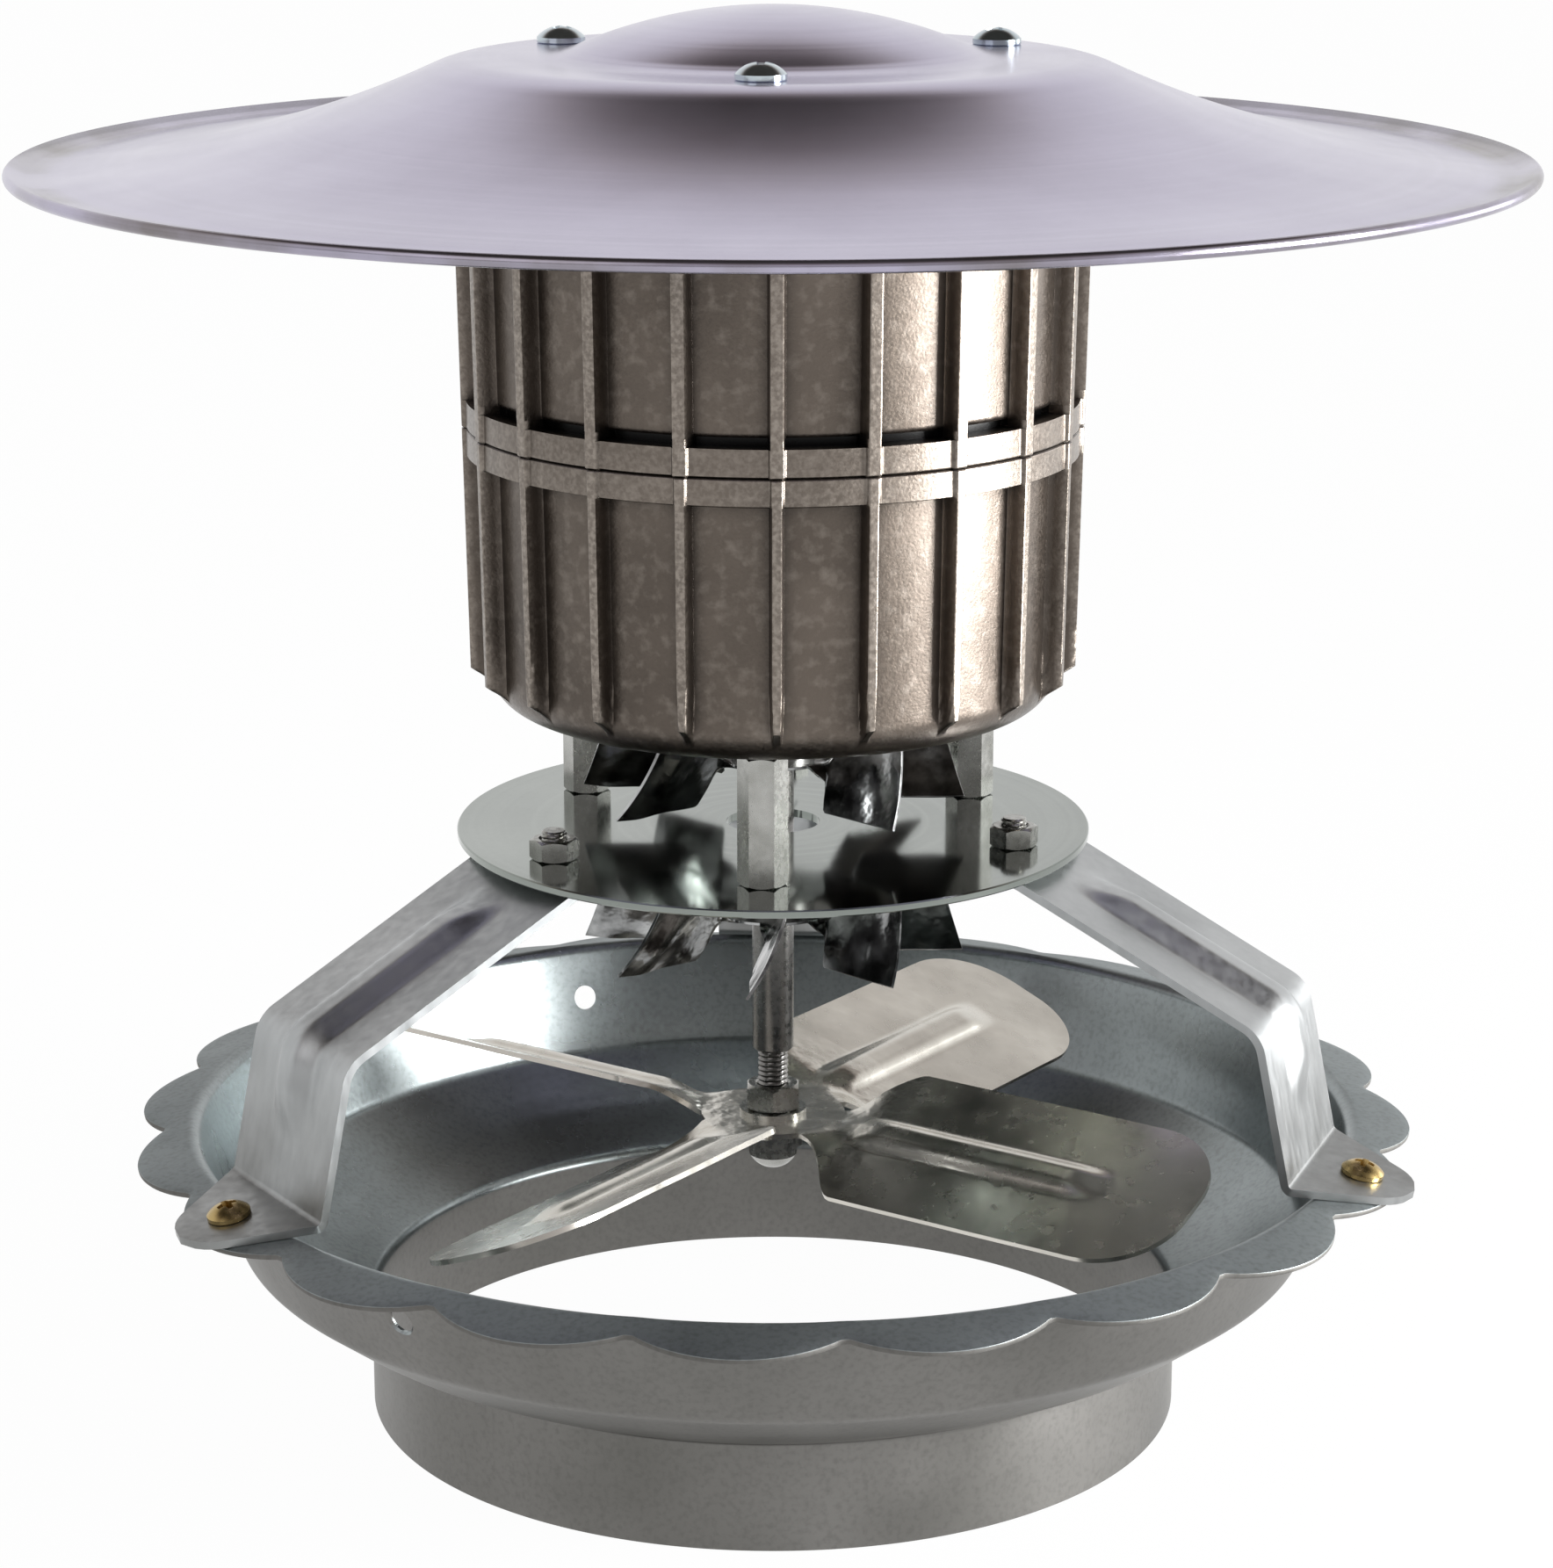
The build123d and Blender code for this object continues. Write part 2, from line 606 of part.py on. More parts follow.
def impeller_blade():
    """Flat blade along +X with its middle plane at height 0."""
    half = BLADE_W / 2
    shoulder = BLADE_ROOT_R + IMPELLER_SHEET
    outline = FilletPolyline(
        (BLADE_ROOT_R, -NECK_W / 2),
        (shoulder, -half + BLADE_SHOULDER),
        (shoulder + BLADE_SHOULDER, -half),
        (IMPELLER_R, -half),
        (IMPELLER_R, half),
        (shoulder + BLADE_SHOULDER, half),
        (shoulder, half - BLADE_SHOULDER),
        (BLADE_ROOT_R, NECK_W / 2),
        radius=(0, BLADE_SHOULDER / 2, BLADE_TIP_BEND, BLADE_TIP_BEND, BLADE_SHOULDER / 2, 0),
    )
    outline += Line((BLADE_ROOT_R, NECK_W / 2), (BLADE_ROOT_R, -NECK_W / 2))
    blade = extrude(make_face(outline), IMPELLER_SHEET / 2, both=True)
    sink = BLADE_RIB_R - BLADE_RIB_H
    above = Pos(IMPELLER_R / 2, 0, IMPELLER_SHEET / 2) * Box(
        2 * IMPELLER_R, BLADE_W, BLADE_RIB_R, align=(Align.CENTER, Align.CENTER, Align.MIN)
    )
    rib = capsule(BLADE_RIB_R, BLADE_RIB_START_R, BLADE_RIB_END_R, IMPELLER_SHEET / 2 - sink)
    hollow = capsule(BLADE_RIB_R, BLADE_RIB_START_R, BLADE_RIB_END_R, -IMPELLER_SHEET / 2 - sink)
    return blade + (rib & above) - hollow


def impeller():
    blade = impeller_blade()
    fan = bladed_disc(blade, BLADE_COUNT, HUB_R, BLADE_ROOT_R, NECK_W, IMPELLER_SHEET, BLADE_ANGLE)
    fan -= cylinder(THREAD_R + THREAD_PLAY, -IMPELLER_SHEET, IMPELLER_SHEET)
    return Pos(Z=IMPELLER_Z + IMPELLER_SHEET / 2) * Rot(Z=FIRST_BLADE) * fan


def impeller_washers():
    top = IMPELLER_Z + IMPELLER_SHEET
    hole = THREAD_R + THREAD_PLAY
    upper = ring(hole, WASHER_R, top, top + WASHER_T)
    return [upper, ring(hole, WASHER_R, IMPELLER_Z - WASHER_T, IMPELLER_Z)]


def impeller_nut():
    bottom = IMPELLER_Z + IMPELLER_SHEET + WASHER_T
    return nut(M6_NUT_AF, THREAD_R, bottom, bottom + M6_NUT_H)


def dome_nut():
    top = IMPELLER_Z - WASHER_T
    body = hexagon(M6_NUT_AF, top - M6_NUT_H, top) + cylinder(DOME_FLANGE_R, top - DOME_FLANGE_T, top)
    body += Pos(Z=top - M6_NUT_H) * Rot(X=180) * pan_head(DOME_R, DOME_H)
    return body - cylinder(THREAD_R + THREAD_PLAY, shaft_end_z - THREAD_PLAY, top)


def rain_cap():
    foot = (CAP_DOME_FOOT_R, shoulder_z)
    shoulder = (CAP_SHOULDER_R, shoulder_z)
    skirt_mid = (CAP_SKIRT_MID_R, shoulder_z - CAP_SKIRT_MID_DROP)
    cap_crease = (CAP_CREASE_R, shoulder_z - CAP_CREASE_DROP)
    brim_end = (CAP_R - CAP_RIM_BEAD, shoulder_z - CAP_BRIM_DROP)
    line = Wire(
        [
            dome_line(CAP_DOME_FOOT_R, CAP_DOME_H, shoulder_z + CAP_DOME_H),
            Line(foot, shoulder),
            ThreePointArc(shoulder, skirt_mid, cap_crease),
            Line(cap_crease, brim_end),
        ]
    )
    corners = line.vertices().sort_by(Axis.X)
    line = line.fillet_2d(CAP_DOME_BEND, [corners[1]])
    corners = line.vertices().sort_by(Axis.X)
    line = line.fillet_2d(CAP_SHOULDER_BEND, [corners[3]])
    cap = revolve(Plane.XZ * make_face(offset(line, CAP_SHEET, side=Side.RIGHT)), Axis.Z)
    rim = Plane.XZ * Pos(brim_end[0], brim_end[1] - CAP_SHEET / 2) * Circle(CAP_RIM_BEAD)
    cap += revolve(rim, Axis.Z)
    for azimuth in SCREW_AZIMUTHS:
        cap -= at(CAP_SCREW_PCR, azimuth, shoulder_z) * hole_cutter(M4_R, CAP_SHEET)
    return cap


def cap_screw():
    head = Pos(Z=shoulder_z) * pan_head(CAP_SCREW_HEAD_R, CAP_SCREW_HEAD_H)
    return head + cylinder(M4_R, motor_top - CAP_SCREW_GRIP, shoulder_z)


def build():
    """Every node by name: one solid, or a list of solids."""
    legs = LEG_AZIMUTHS.values()
    one_leg = leg()
    nodes = {name: Rot(Z=azimuth) * one_leg for name, azimuth in LEG_AZIMUTHS.items()}
    nodes["base_bowl"] = base_bowl()
    nodes["foot_screws"] = [foot_place(azimuth) * foot_screw() for azimuth in legs]
    nodes["foot_nuts"] = [foot_place(azimuth) * foot_nut() for azimuth in legs]
    nodes["heat_plate"] = heat_plate()
    nodes["leg_bolts"] = copies(leg_bolt(), LEG_BOLT_PCR, legs)
    nodes["leg_nuts"] = copies(leg_nut(), LEG_BOLT_PCR, legs)
    nodes["standoffs"] = copies(standoff(), STANDOFF_PCR, SCREW_AZIMUTHS)
    nodes["standoff_screws"] = copies(standoff_screw(), STANDOFF_PCR, SCREW_AZIMUTHS)
    nodes["lower_housing"] = lower_housing()
    nodes["upper_housing"] = upper_housing()
    nodes["housing_screws"] = copies(housing_screw(), TIE_PCR, tie_azimuths)
    nodes["cable_grommet"] = cable_grommet()
    nodes["stator_core"] = stator_core()
    nodes["upper_winding"] = winding(stator_top, 1)
    nodes["lower_winding"] = winding(stator_bottom, -1)
    nodes["upper_bearing_outer"] = bearing_outer(upper_bearing_z)
    nodes["lower_bearing_outer"] = bearing_outer(lower_bearing_z)
    nodes["rain_cap"] = rain_cap()
    nodes["cap_screws"] = copies(cap_screw(), CAP_SCREW_PCR, SCREW_AZIMUTHS)
    nodes["motor_shaft"] = motor_shaft()
    nodes["rotor_core"] = rotor_core()
    nodes["upper_bearing_inner"] = bearing_inner(upper_bearing_z)
    nodes["lower_bearing_inner"] = bearing_inner(lower_bearing_z)
    nodes["upper_cooling_fan"] = cooling_fan(upper_fan_z)
    nodes["lower_cooling_fan"] = cooling_fan(lower_fan_z)
    nodes["upper_fan_bush"] = fan_bush(upper_fan_z)
    nodes["lower_fan_bush"] = fan_bush(lower_fan_z)
    nodes["bush_set_screws"] = [set_screw(upper_fan_z), set_screw(lower_fan_z)]
    nodes["impeller"] = impeller()
    nodes["impeller_washers"] = impeller_washers()
    nodes["impeller_nut"] = impeller_nut()
    nodes["dome_nut"] = dome_nut()
    return nodes


os.makedirs("parts", exist_ok=True)
for name, shape in build().items():
    solids = shape if isinstance(shape, list) else [shape]
    whole = Compound(children=[solid for item in solids for solid in item.solids()])
    export_step(whole, f"parts/{name}.step")
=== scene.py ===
import json
import math

import bmesh
import bpy
from mathutils import Matrix, Vector

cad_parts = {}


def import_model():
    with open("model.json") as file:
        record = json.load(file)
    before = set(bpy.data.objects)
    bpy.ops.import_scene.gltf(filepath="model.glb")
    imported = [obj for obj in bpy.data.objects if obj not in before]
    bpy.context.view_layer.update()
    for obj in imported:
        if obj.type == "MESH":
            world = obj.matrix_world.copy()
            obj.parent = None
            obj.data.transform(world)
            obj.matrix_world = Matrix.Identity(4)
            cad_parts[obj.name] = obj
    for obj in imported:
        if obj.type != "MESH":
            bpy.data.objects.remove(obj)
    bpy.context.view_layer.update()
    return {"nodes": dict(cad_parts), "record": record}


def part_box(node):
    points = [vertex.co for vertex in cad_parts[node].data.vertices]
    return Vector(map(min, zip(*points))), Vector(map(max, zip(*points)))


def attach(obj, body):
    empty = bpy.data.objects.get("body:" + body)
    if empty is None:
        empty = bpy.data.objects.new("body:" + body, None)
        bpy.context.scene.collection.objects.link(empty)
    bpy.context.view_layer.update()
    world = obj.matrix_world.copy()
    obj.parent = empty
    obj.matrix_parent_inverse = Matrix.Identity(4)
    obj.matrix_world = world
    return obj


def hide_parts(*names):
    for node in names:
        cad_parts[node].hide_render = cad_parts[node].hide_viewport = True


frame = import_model()

# Chimney draft fan. Sizes are millimetres, in the frame of the solids, and become metres in add_piece.
MM = 0.001

# Camera, at the photograph's viewing angle
PHOTO_W = 1768
PHOTO_H = 1785
FOCAL_PX = 4796.25
AXIS_PX = 880          # where the fan's axis stands in the photograph
CAMERA_Y = -780.0
CAMERA_Z = 331.65
CAMERA_PITCH = 14.994
SENSOR = 36.0

# Mesh fineness
LATHE_STEPS = 240
CAP_STEPS = 288
HOLE_STEPS = 48
HEAD_STEPS = 64
ROD_STEPS = 32
ARC_STEP = 8.0         # degrees between the points of a rounded bend
BOWL_STEP = 1.5        # between the points along a sheet's profile
LEG_STEP = 1.0
CAP_STEP = 1.4
LEG_COLUMNS = 44
WELD = 0.002           # points closer than this become one
EDGE_ROUND = 0.25      # rounding of a sheet's cut edges
FAN_EDGE_ROUND = 0.1
CUT_EDGE = (0.2, 0.8)  # where the points of a rounded cut edge lie across the sheet

# Angles above which an edge is shaded sharp, and one above which it is bevelled
SHARP = 35.0
HEX_SHARP = 25.0
CAST_SHARP = 50.0
CAP_SHARP = 60.0
BEVEL_ANGLE = 50.0

# Sheets
BOWL_SHEET = 1.0
LEG_SHEET = 1.5
CAP_SHEET = 0.8
IMPELLER_SHEET = 1.0
FAN_SHEET = 0.6

# Base bowl
COLLAR_R = 79.0
COLLAR_CORNER_Z = 20.956
BOWL_KNEE = (92.0, 27.018)
BOWL_CREASE = (104.0, 36.018)
BOWL_LIP = (112.2, 57.418)
COLLAR_BEND = 1.5
KNEE_BEND = 40.0
CREASE_BEND = 5.0
LIP_BEND = 1.6
FLANGE_SLOPE = 11.0
LOBE_COUNT = 20
LOBE_R = 26.0
LOBE_REACH = 123.6
FIRST_LOBE = 15.0
COLUMNS_PER_LOBE = 26
WALL_HOLE_R = 2.5
WALL_HOLE_Z = 47.7
WALL_HOLE_AZIMUTHS = (112.5, 232.5, 352.5)
WALL_HOLE_CHAMFER = 0.7
DRILL_REACH = 8.0
LOBE_DROOP = 0.2       # how far the edge of a lobe is turned down
LOBE_DROOP_W = 1.6

# Legs
LEG_AZIMUTHS = {"left_leg": 213.0, "right_leg": 339.0, "rear_leg": 87.0}
LEG_W = 35.0
TAB_INNER_R = 40.5
TAB_BEND_R = 54.0
LEG_KNEE = (100.5, 88.5)
ANKLE_R = 106.5
FOOT_SCREW_R = 117.0
FOOT_END_R = 10.0
LEG_BENDS = (4.0, 6.0, 2.6)
BEAD_W = 14.0
BEAD_H = 2.6
BEAD_START_R = 60.0
BEAD_END_Z = 70.0
BEAD_RUN_OUT = 12.0
BEAD_FLAT = 0.25       # flat top of the bead, as a share of its width
FOOT_TIP = 0.1         # least half width at the end of a foot

# Heat plate, standoffs and hardware
PLATE_TOP = 115.5
PLATE_BORE_R = 9.0
PLATE_SHEET = 1.5
LEG_BOLT_PCR = 48.5
STANDOFF_PCR = 43.5
STANDOFF_AF = 8.0
MOTOR_BOTTOM = 140.0
SCREW_AZIMUTHS = (267.5, 27.5, 147.5)
THREAD_DEPTH = 0.35
THREAD_CHAMFER = 0.5
THREAD_SIDES = 48
THREAD_ROWS = 6        # rows of points in a turn
M4_PITCH = 0.7
M5_PITCH = 0.8
M6_PITCH = 1.0
HEX_STEP = 5           # degrees between the columns of a nut
HEX_FACE = 0.475       # radius of a nut's flat end, as a share of its width
HEX_CHAMFER = 30.0
BORE_CHAMFER = 0.4
HEAD_ROUND = 0.2
HEAD_EDGE = 0.35       # a screw head's straight edge, as a share of its height
DOME_ROWS = 10
RECESS_ARM = 0.13      # half width of a cross recess's arm, as a share of the recess
RECESS_CORNER = 1.3    # where two arms meet, in half widths
RECESS_TAPER = 0.55
RECESS_DEPTH = 0.45
FOOT_RECESS = 4.6
CAP_RECESS = 5.4
M4_R = 2.0
M4_HEAD_R = 4.0
M4_HEAD_H = 2.6
M4_NUT_AF = 7.0
M4_NUT_H = 3.2
M5_R = 2.5
M5_NUT_AF = 8.0
M5_NUT_H = 4.0
M5_HEAD_H = 3.5
SCREW_TAIL = 1.5
INTO_HEAD = 0.3        # how far a rod runs into its screw head
INTO_BOLT_HEAD = 0.6
FOOT_NUT_PLAY = 0.1
CAP_SCREW_GRIP = 6.0
CAP_SCREW_PCR = 47.5
CAP_SCREW_HEAD_R = 4.6
CAP_SCREW_HEAD_H = 3.2

# Motor housing
MOTOR_SPLIT = 193.0
MOTOR_TOP = 260.2
HOUSING_R = 58.2
HOUSING_TAPER = 1.05
RIB_COUNT = 21
UPPER_RIB_W = 3.4
LOWER_RIB_W = 2.8
RIB_H = 3.6
RIB_FLANK = 0.6        # width of a rib's drafted side
RIB_POINT = 0.8        # a lower rib's width at its lower end, as a share
SEAM_DEPTH = 0.4
SEAM_H = 0.35
SLOT_DEPTH = 1.8
SLOT_EDGE = 0.3        # undercut of the panel over a vent slot
SLOT_EDGE_H = 0.5
RIB_END_RISE = 3.6     # lower end of the ribs above the motor's bottom
RIB_END_FADE = 3.0
RIB_END = (0.7, 0.35)  # where a lower rib's crest ends on the housing's corner, as shares of it
# Columns of points by their distance from a rib's middle, close together at its flanks
RIB_COLUMNS = (0, 0.3, 0.55, 0.7, 0.85, 1.0, 1.15, 1.3, 1.45, 1.6, 1.75, 2.1, 2.8, 3.8, 5.2, 7.0)
SEAM_ROWS = (0, 0.4, 0.7, 1.0, 1.4)  # rows of points from the joint, in seam heights
LOWER_ROWS = 24
UPPER_ROWS = 26
FIRST_RIB = 270.7
HOUSING_CORNER = 7.0
CORNER_ROWS = range(10, 91, 5)  # rows of points round the lower corner, in degrees
TOP_CORNER = 4.5
BAND_H = 5.2
BAND_STEP = 0.8
BAND_FOOT = 0.5        # the band blends into the panel from here below its edge
BAND_BLEND = 0.3       # to here above it
BAND_ROW = 2.0         # a row of points this far inside the band
TOP_ROW = 1.0          # and this far below the top
JUST_OVER = 0.01
SLOT_H = 1.6
STATOR_BORE_R = 50.1
SHAFT_HOLE_R = 6.0
SHAFT_HOLE_EDGE = 0.5
BOTTOM_RING_R = 20.0
TIE_PCR = 45.5
TIE_TURN = 60.0        # from the cap screws
TIE_PLAY = 0.1
TIE_CUT = 2.0

# Shaft and fans
SHAFT_R = 4.0
SHAFT_STEP_Z = 69.6
SHAFT_CHAMFER = 0.4
THREAD_R = 3.0
FAN_R = 36.5
FAN_BLADES = 8
FAN_BLADE_W = 17.0
FAN_ANGLE = 65.0
FAN_RAKE = 5.0
FAN_HUB_R = 12.0
FAN_ROOT_R = 16.0
FAN_NECK_W = 5.0
FAN_CURL = 1.2
FAN_WAVE = 0.45
FAN_WAVE_L = 2.4
FAN_NECK_BLEND = (1.0, 1.4)
FAN_ROWS = 44
FAN_COLUMNS = 18
SPIGOT_R = 5.5
UPPER_FAN_Z = 129.0
LOWER_FAN_Z = 98.5
IMPELLER_Z = 55.6
IMPELLER_R = 94.0
BLADE_COUNT = 4
FIRST_BLADE = 55.0
BLADE_W = 38.0
BLADE_ANGLE = 22.0
BLADE_ROOT_R = 19.0
BLADE_SHOULDER = 6.0
BLADE_TIP_BEND = 16.0
NECK_W = 16.0
HUB_R = 14.0
BLADE_RIB_W = 10.0
BLADE_RIB_H = 1.6
BLADE_RIB_START_R = 17.0
BLADE_RIB_END_R = 77.0
BLADE_RIB_RUN_OUT = 10.0
BLADE_RIB_FLAT = 0.3   # flat top of the rib, as a share of its width
BLADE_WAVE = 0.04      # waviness of the blades' hand-pressed sheet
LONG_WAVE = (13.0, 4.5)   # two crossed waves, along and across a blade
SHORT_WAVE = (5.5, 9.0)
BLADE_NECK_BLEND = 3.0
TWIST_OVER = 2.0
BLADE_ROWS = 64
TIP_ROWS = 18
BLADE_COLUMNS = 48
WASHER_T = 1.0
M6_NUT_AF = 10.0
M6_NUT_H = 5.0

# Rain cap
CAP_R = 140.0
CAP_SHOULDER_Z = 261.0
CAP_DOME_Z = 270.0
CAP_DOME_FOOT_R = 40.0
CAP_SHOULDER_R = 59.0
CAP_SKIRT_MID = (90.0, 249.0)
CAP_CREASE = (128.0, 241.8)
CAP_BRIM_Z = 241.4
CAP_RIM_BEAD = 1.2
CAP_LIP_W = 6.0
CAP_LIP_H = 0.6
CAP_SOFTNESS = 4.2
CAP_DOME_ROWS = 30
RIM_POINTS = 14
RIM_STEP = 20          # degrees between the points of the rolled rim
CAP_ARC_STEP = 0.4     # degrees between the points of the long skirt curve
CAP_RIM_SHADE_R = 131.0    # painted shade and dark reflection in the dished rim, from here out
CAP_RIM_SHADE_BLEND = 3.0

# Where finishes change
SHIN_DARKENING = (64.0, 92.0)    # the legs' darker patches fade out between these heights
HUB_WAVES = (20.0, 34.0)    # the crumpling round the hub fades out between these radii
CREST_SHEEN_H = 1.6                # depth of a rib's crest that is painted brighter, as a highlight and as wear
SINK = 0.1                  # a slot is painted with shade from this depth on


# Shapes, each a list of points in millimetres and a list of faces

def clamp(value, low=0.0, high=1.0):
    return max(low, min(high, value))


def smooth(low, high, value):
    """0 below low, 1 above high and an S-curve between."""
    t = clamp((value - low) / (high - low))
    return t * t * (3 - 2 * t)


def mix(a, b, share):
    return a + (b - a) * share


def arc(centre, start, end, step=ARC_STEP):
    """Points along the shorter arc about a centre, ends included."""
    first = start - centre
    sweep = first.angle_signed(end - centre)
    steps = max(2, math.ceil(abs(math.degrees(sweep)) / step))
    return [centre + Matrix.Rotation(-sweep * k / steps, 2) @ first for k in range(steps + 1)]


def rounded(points, bends):
    """Line through corner points, with each inner corner rounded to a bend radius."""
    line = [Vector(points[0])]
    for before, corner, after, bend in zip(points, points[1:], points[2:], bends):
        corner = Vector(corner)
        a = (Vector(before) - corner).normalized()
        b = (Vector(after) - corner).normalized()
        half = a.angle(b) / 2
        centre = corner + (a + b).normalized() * (bend / math.sin(half))
        reach = bend / math.tan(half)
        line += arc(centre, corner + a * reach, corner + b * reach)
    return line + [Vector(points[-1])]


def spaced(line, step):
    """The line with points added so that none are further apart than step."""
    out = [line[0]]
    for a, b in zip(line, line[1:]):
        count = max(1, math.ceil((b - a).length / step))
        out += [a.lerp(b, (k + 1) / count) for k in range(count)]
    return out


def softened(line, reach):
    """The line with its corners eased by averaging over a reach, ends kept."""
    out = []
    for here in line:
        near = [p for p in line if (p - here).length <= reach]
        room = min((here - line[0]).length, (here - line[-1]).length) / reach
        middle = sum(near, Vector((0, 0))) / len(near)
        out.append(here.lerp(middle, clamp(room)))
    return out


def beside(line, distance):
    """The line moved to its left by a distance."""
    out = []
    for k, here in enumerate(line):
        along = (line[min(k + 1, len(line) - 1)] - line[max(k - 1, 0)]).normalized()
        out.append(here + Vector((-along.y, along.x)) * distance)
    return out


def sheet_loop(line, thickness):
    """Closed outline of a sheet whose right face is the line, with rounded cut edges."""
    inset = EDGE_ROUND / 2
    ends = []
    for end, inner in ((line[0], line[1]), (line[-1], line[-2])):
        ends.append((inner - end).normalized() * inset)
    body = [line[0] + ends[0]] + line[1:-1] + [line[-1] + ends[1]]
    other = beside(line, thickness)
    over = [other[0] + ends[0]] + other[1:-1] + [other[-1] + ends[1]]
    first = [line[0].lerp(other[0], share) for share in reversed(CUT_EDGE)]
    last = [line[-1].lerp(other[-1], share) for share in CUT_EDGE]
    return body + last + over[::-1] + first


def columns(loop_at, angles):
    """Closed ring of outlines, one at each angle, each a list of radius and height."""
    points, faces = [], []
    for angle in angles:
        c, s = math.cos(math.radians(angle)), math.sin(math.radians(angle))
        points += [(r * c, r * s, z) for r, z in loop_at(angle)]
    size = len(points) // len(angles)
    for i in range(len(angles)):
        a, b = i * size, (i + 1) % len(angles) * size
        for j in range(size):
            k = (j + 1) % size
            faces.append((a + j, b + j, b + k, a + k))
    return points, faces


def lathe(loop, steps=LATHE_STEPS):
    return columns(lambda angle: loop, [360 / steps * k for k in range(steps)])


def rod(radius, bottom, top):
    """Outline of a plain rod on the axis."""
    return [(0, bottom), (radius, bottom), (radius, top), (0, top)]


def sheet_faces(rows, across, open_start=False):
    """Faces of a sheet made of an upper and a lower grid of points, the upper grid first."""
    width = across + 1
    count = (rows + 1) * width
    faces = []
    for i in range(rows):
        for j in range(across):
            a = i * width + j
            quad = (a, a + width, a + width + 1, a + 1)
            faces.append(quad)
            faces.append(tuple(count + k for k in reversed(quad)))
    rim = [i * width for i in range(rows)] + [rows * width + j for j in range(across)]
    rim += [i * width + across for i in range(rows, -1, -1)]
    if not open_start:
        rim += list(range(across - 1, -1, -1))
    for a, b in zip(rim, rim[1:]):
        faces.append((b, a, a + count, b + count))
    return faces


def bladed_sheet(surface, us, vs, thickness, bore, hub_r, neck_w, azimuths):
    """One sheet: a flat ring with blades. The surface of a blade along +X starts on the ring's edge."""
    half = thickness / 2
    small = 0.002
    upper, lower = [], []
    for u in us:
        for v in vs:
            du = surface(min(u + small, 1), v) - surface(max(u - small, 0), v)
            dv = surface(u, min(v + small, 1)) - surface(u, max(v - small, 0))
            normal = du.cross(dv).normalized() if u > 0 else Vector((0, 0, 1))
            upper.append(surface(u, v) + normal * half)
            lower.append(surface(u, v) - normal * half)
    blade = (upper + lower, sheet_faces(len(us) - 1, len(vs) - 1, open_start=True))

    on_blade = [math.degrees(math.asin(neck_w / 2 * (2 * v - 1) / hub_r)) for v in vs]
    gap = azimuths[1] - azimuths[0] - 2 * on_blade[-1]
    gap_steps = 8
    angles = []
    for azimuth in azimuths:
        angles += [azimuth + a for a in on_blade]
        angles += [azimuth + on_blade[-1] + gap * k / gap_steps for k in range(1, gap_steps)]
    rings = 5
    total = len(angles)
    points = []
    for z in (half, -half):
        for i in range(rings + 1):
            r = mix(bore, hub_r, i / rings)
            points += [turn(a, r, z) @ Vector() for a in angles]
    under = (rings + 1) * total
    edge = rings * total
    faces = []
    for c in range(total):
        d = (c + 1) % total
        for i in range(rings):
            quad = (i * total + c, (i + 1) * total + c, (i + 1) * total + d, i * total + d)
            faces.append(quad)
            faces.append(tuple(under + k for k in reversed(quad)))
        faces.append((d, under + d, under + c, c))
        if c % (total // len(azimuths)) >= len(vs) - 1:
            faces.append((edge + c, edge + under + c, edge + under + d, edge + d))
    return joined((points, faces), ringed(blade, 0, azimuths))


def joined(*shapes):
    points, faces = [], []
    for some, ones in shapes:
        start = len(points)
        points += [Vector(p) for p in some]
        faces += [tuple(start + k for k in face) for face in ones]
    return points, faces


def moved(shape, matrix):
    points, faces = shape
    return [matrix @ Vector(p) for p in points], faces


def turn(azimuth, radius=0.0, z=0.0):
    """Place on a circle about the axis, turned to face outwards."""
    return Matrix.Rotation(math.radians(azimuth), 4, "Z") @ Matrix.Translation((radius, 0, z))


def ringed(shape, radius, azimuths):
    return joined(*[moved(shape, turn(azimuth, radius)) for azimuth in azimuths])


def to_mesh(name, shape):
    mesh = bpy.data.meshes.new(name)
    points, faces = shape
    mesh.from_pydata([tuple(c * MM for c in p) for p in points], [], faces)
    work = bmesh.new()
    work.from_mesh(mesh)
    bmesh.ops.remove_doubles(work, verts=work.verts, dist=WELD * MM)
    bmesh.ops.dissolve_degenerate(work, edges=work.edges, dist=WELD / 2 * MM)
    bare = [edge for edge in work.edges if not edge.link_faces]
    bmesh.ops.delete(work, geom=bare, context="EDGES")
    bmesh.ops.recalc_face_normals(work, faces=work.faces)
    work.to_mesh(mesh)
    work.free()
    return mesh


def combined(shape, tool, operation):
    """The shape less a tool, or with it, as one closed mesh."""
    objects = [bpy.data.objects.new("work", to_mesh("work", s)) for s in (shape, tool)]
    for obj in objects:
        bpy.context.collection.objects.link(obj)
    modifier = objects[0].modifiers.new("combine", "BOOLEAN")
    modifier.object = objects[1]
    modifier.operation = operation
    modifier.solver = "EXACT"
    bpy.context.view_layer.update()
    evaluated = objects[0].evaluated_get(bpy.context.evaluated_depsgraph_get())
    mesh = bpy.data.meshes.new_from_object(evaluated)
    points = [v.co / MM for v in mesh.vertices]
    faces = [tuple(p.vertices) for p in mesh.polygons]
    for obj in objects:
        old = obj.data
        bpy.data.objects.remove(obj)
        bpy.data.meshes.remove(old)
    bpy.data.meshes.remove(mesh)
    return points, faces


def cut(shape, tool):
    return combined(shape, tool, "DIFFERENCE")


def united(shape, tool):
    return combined(shape, tool, "UNION")


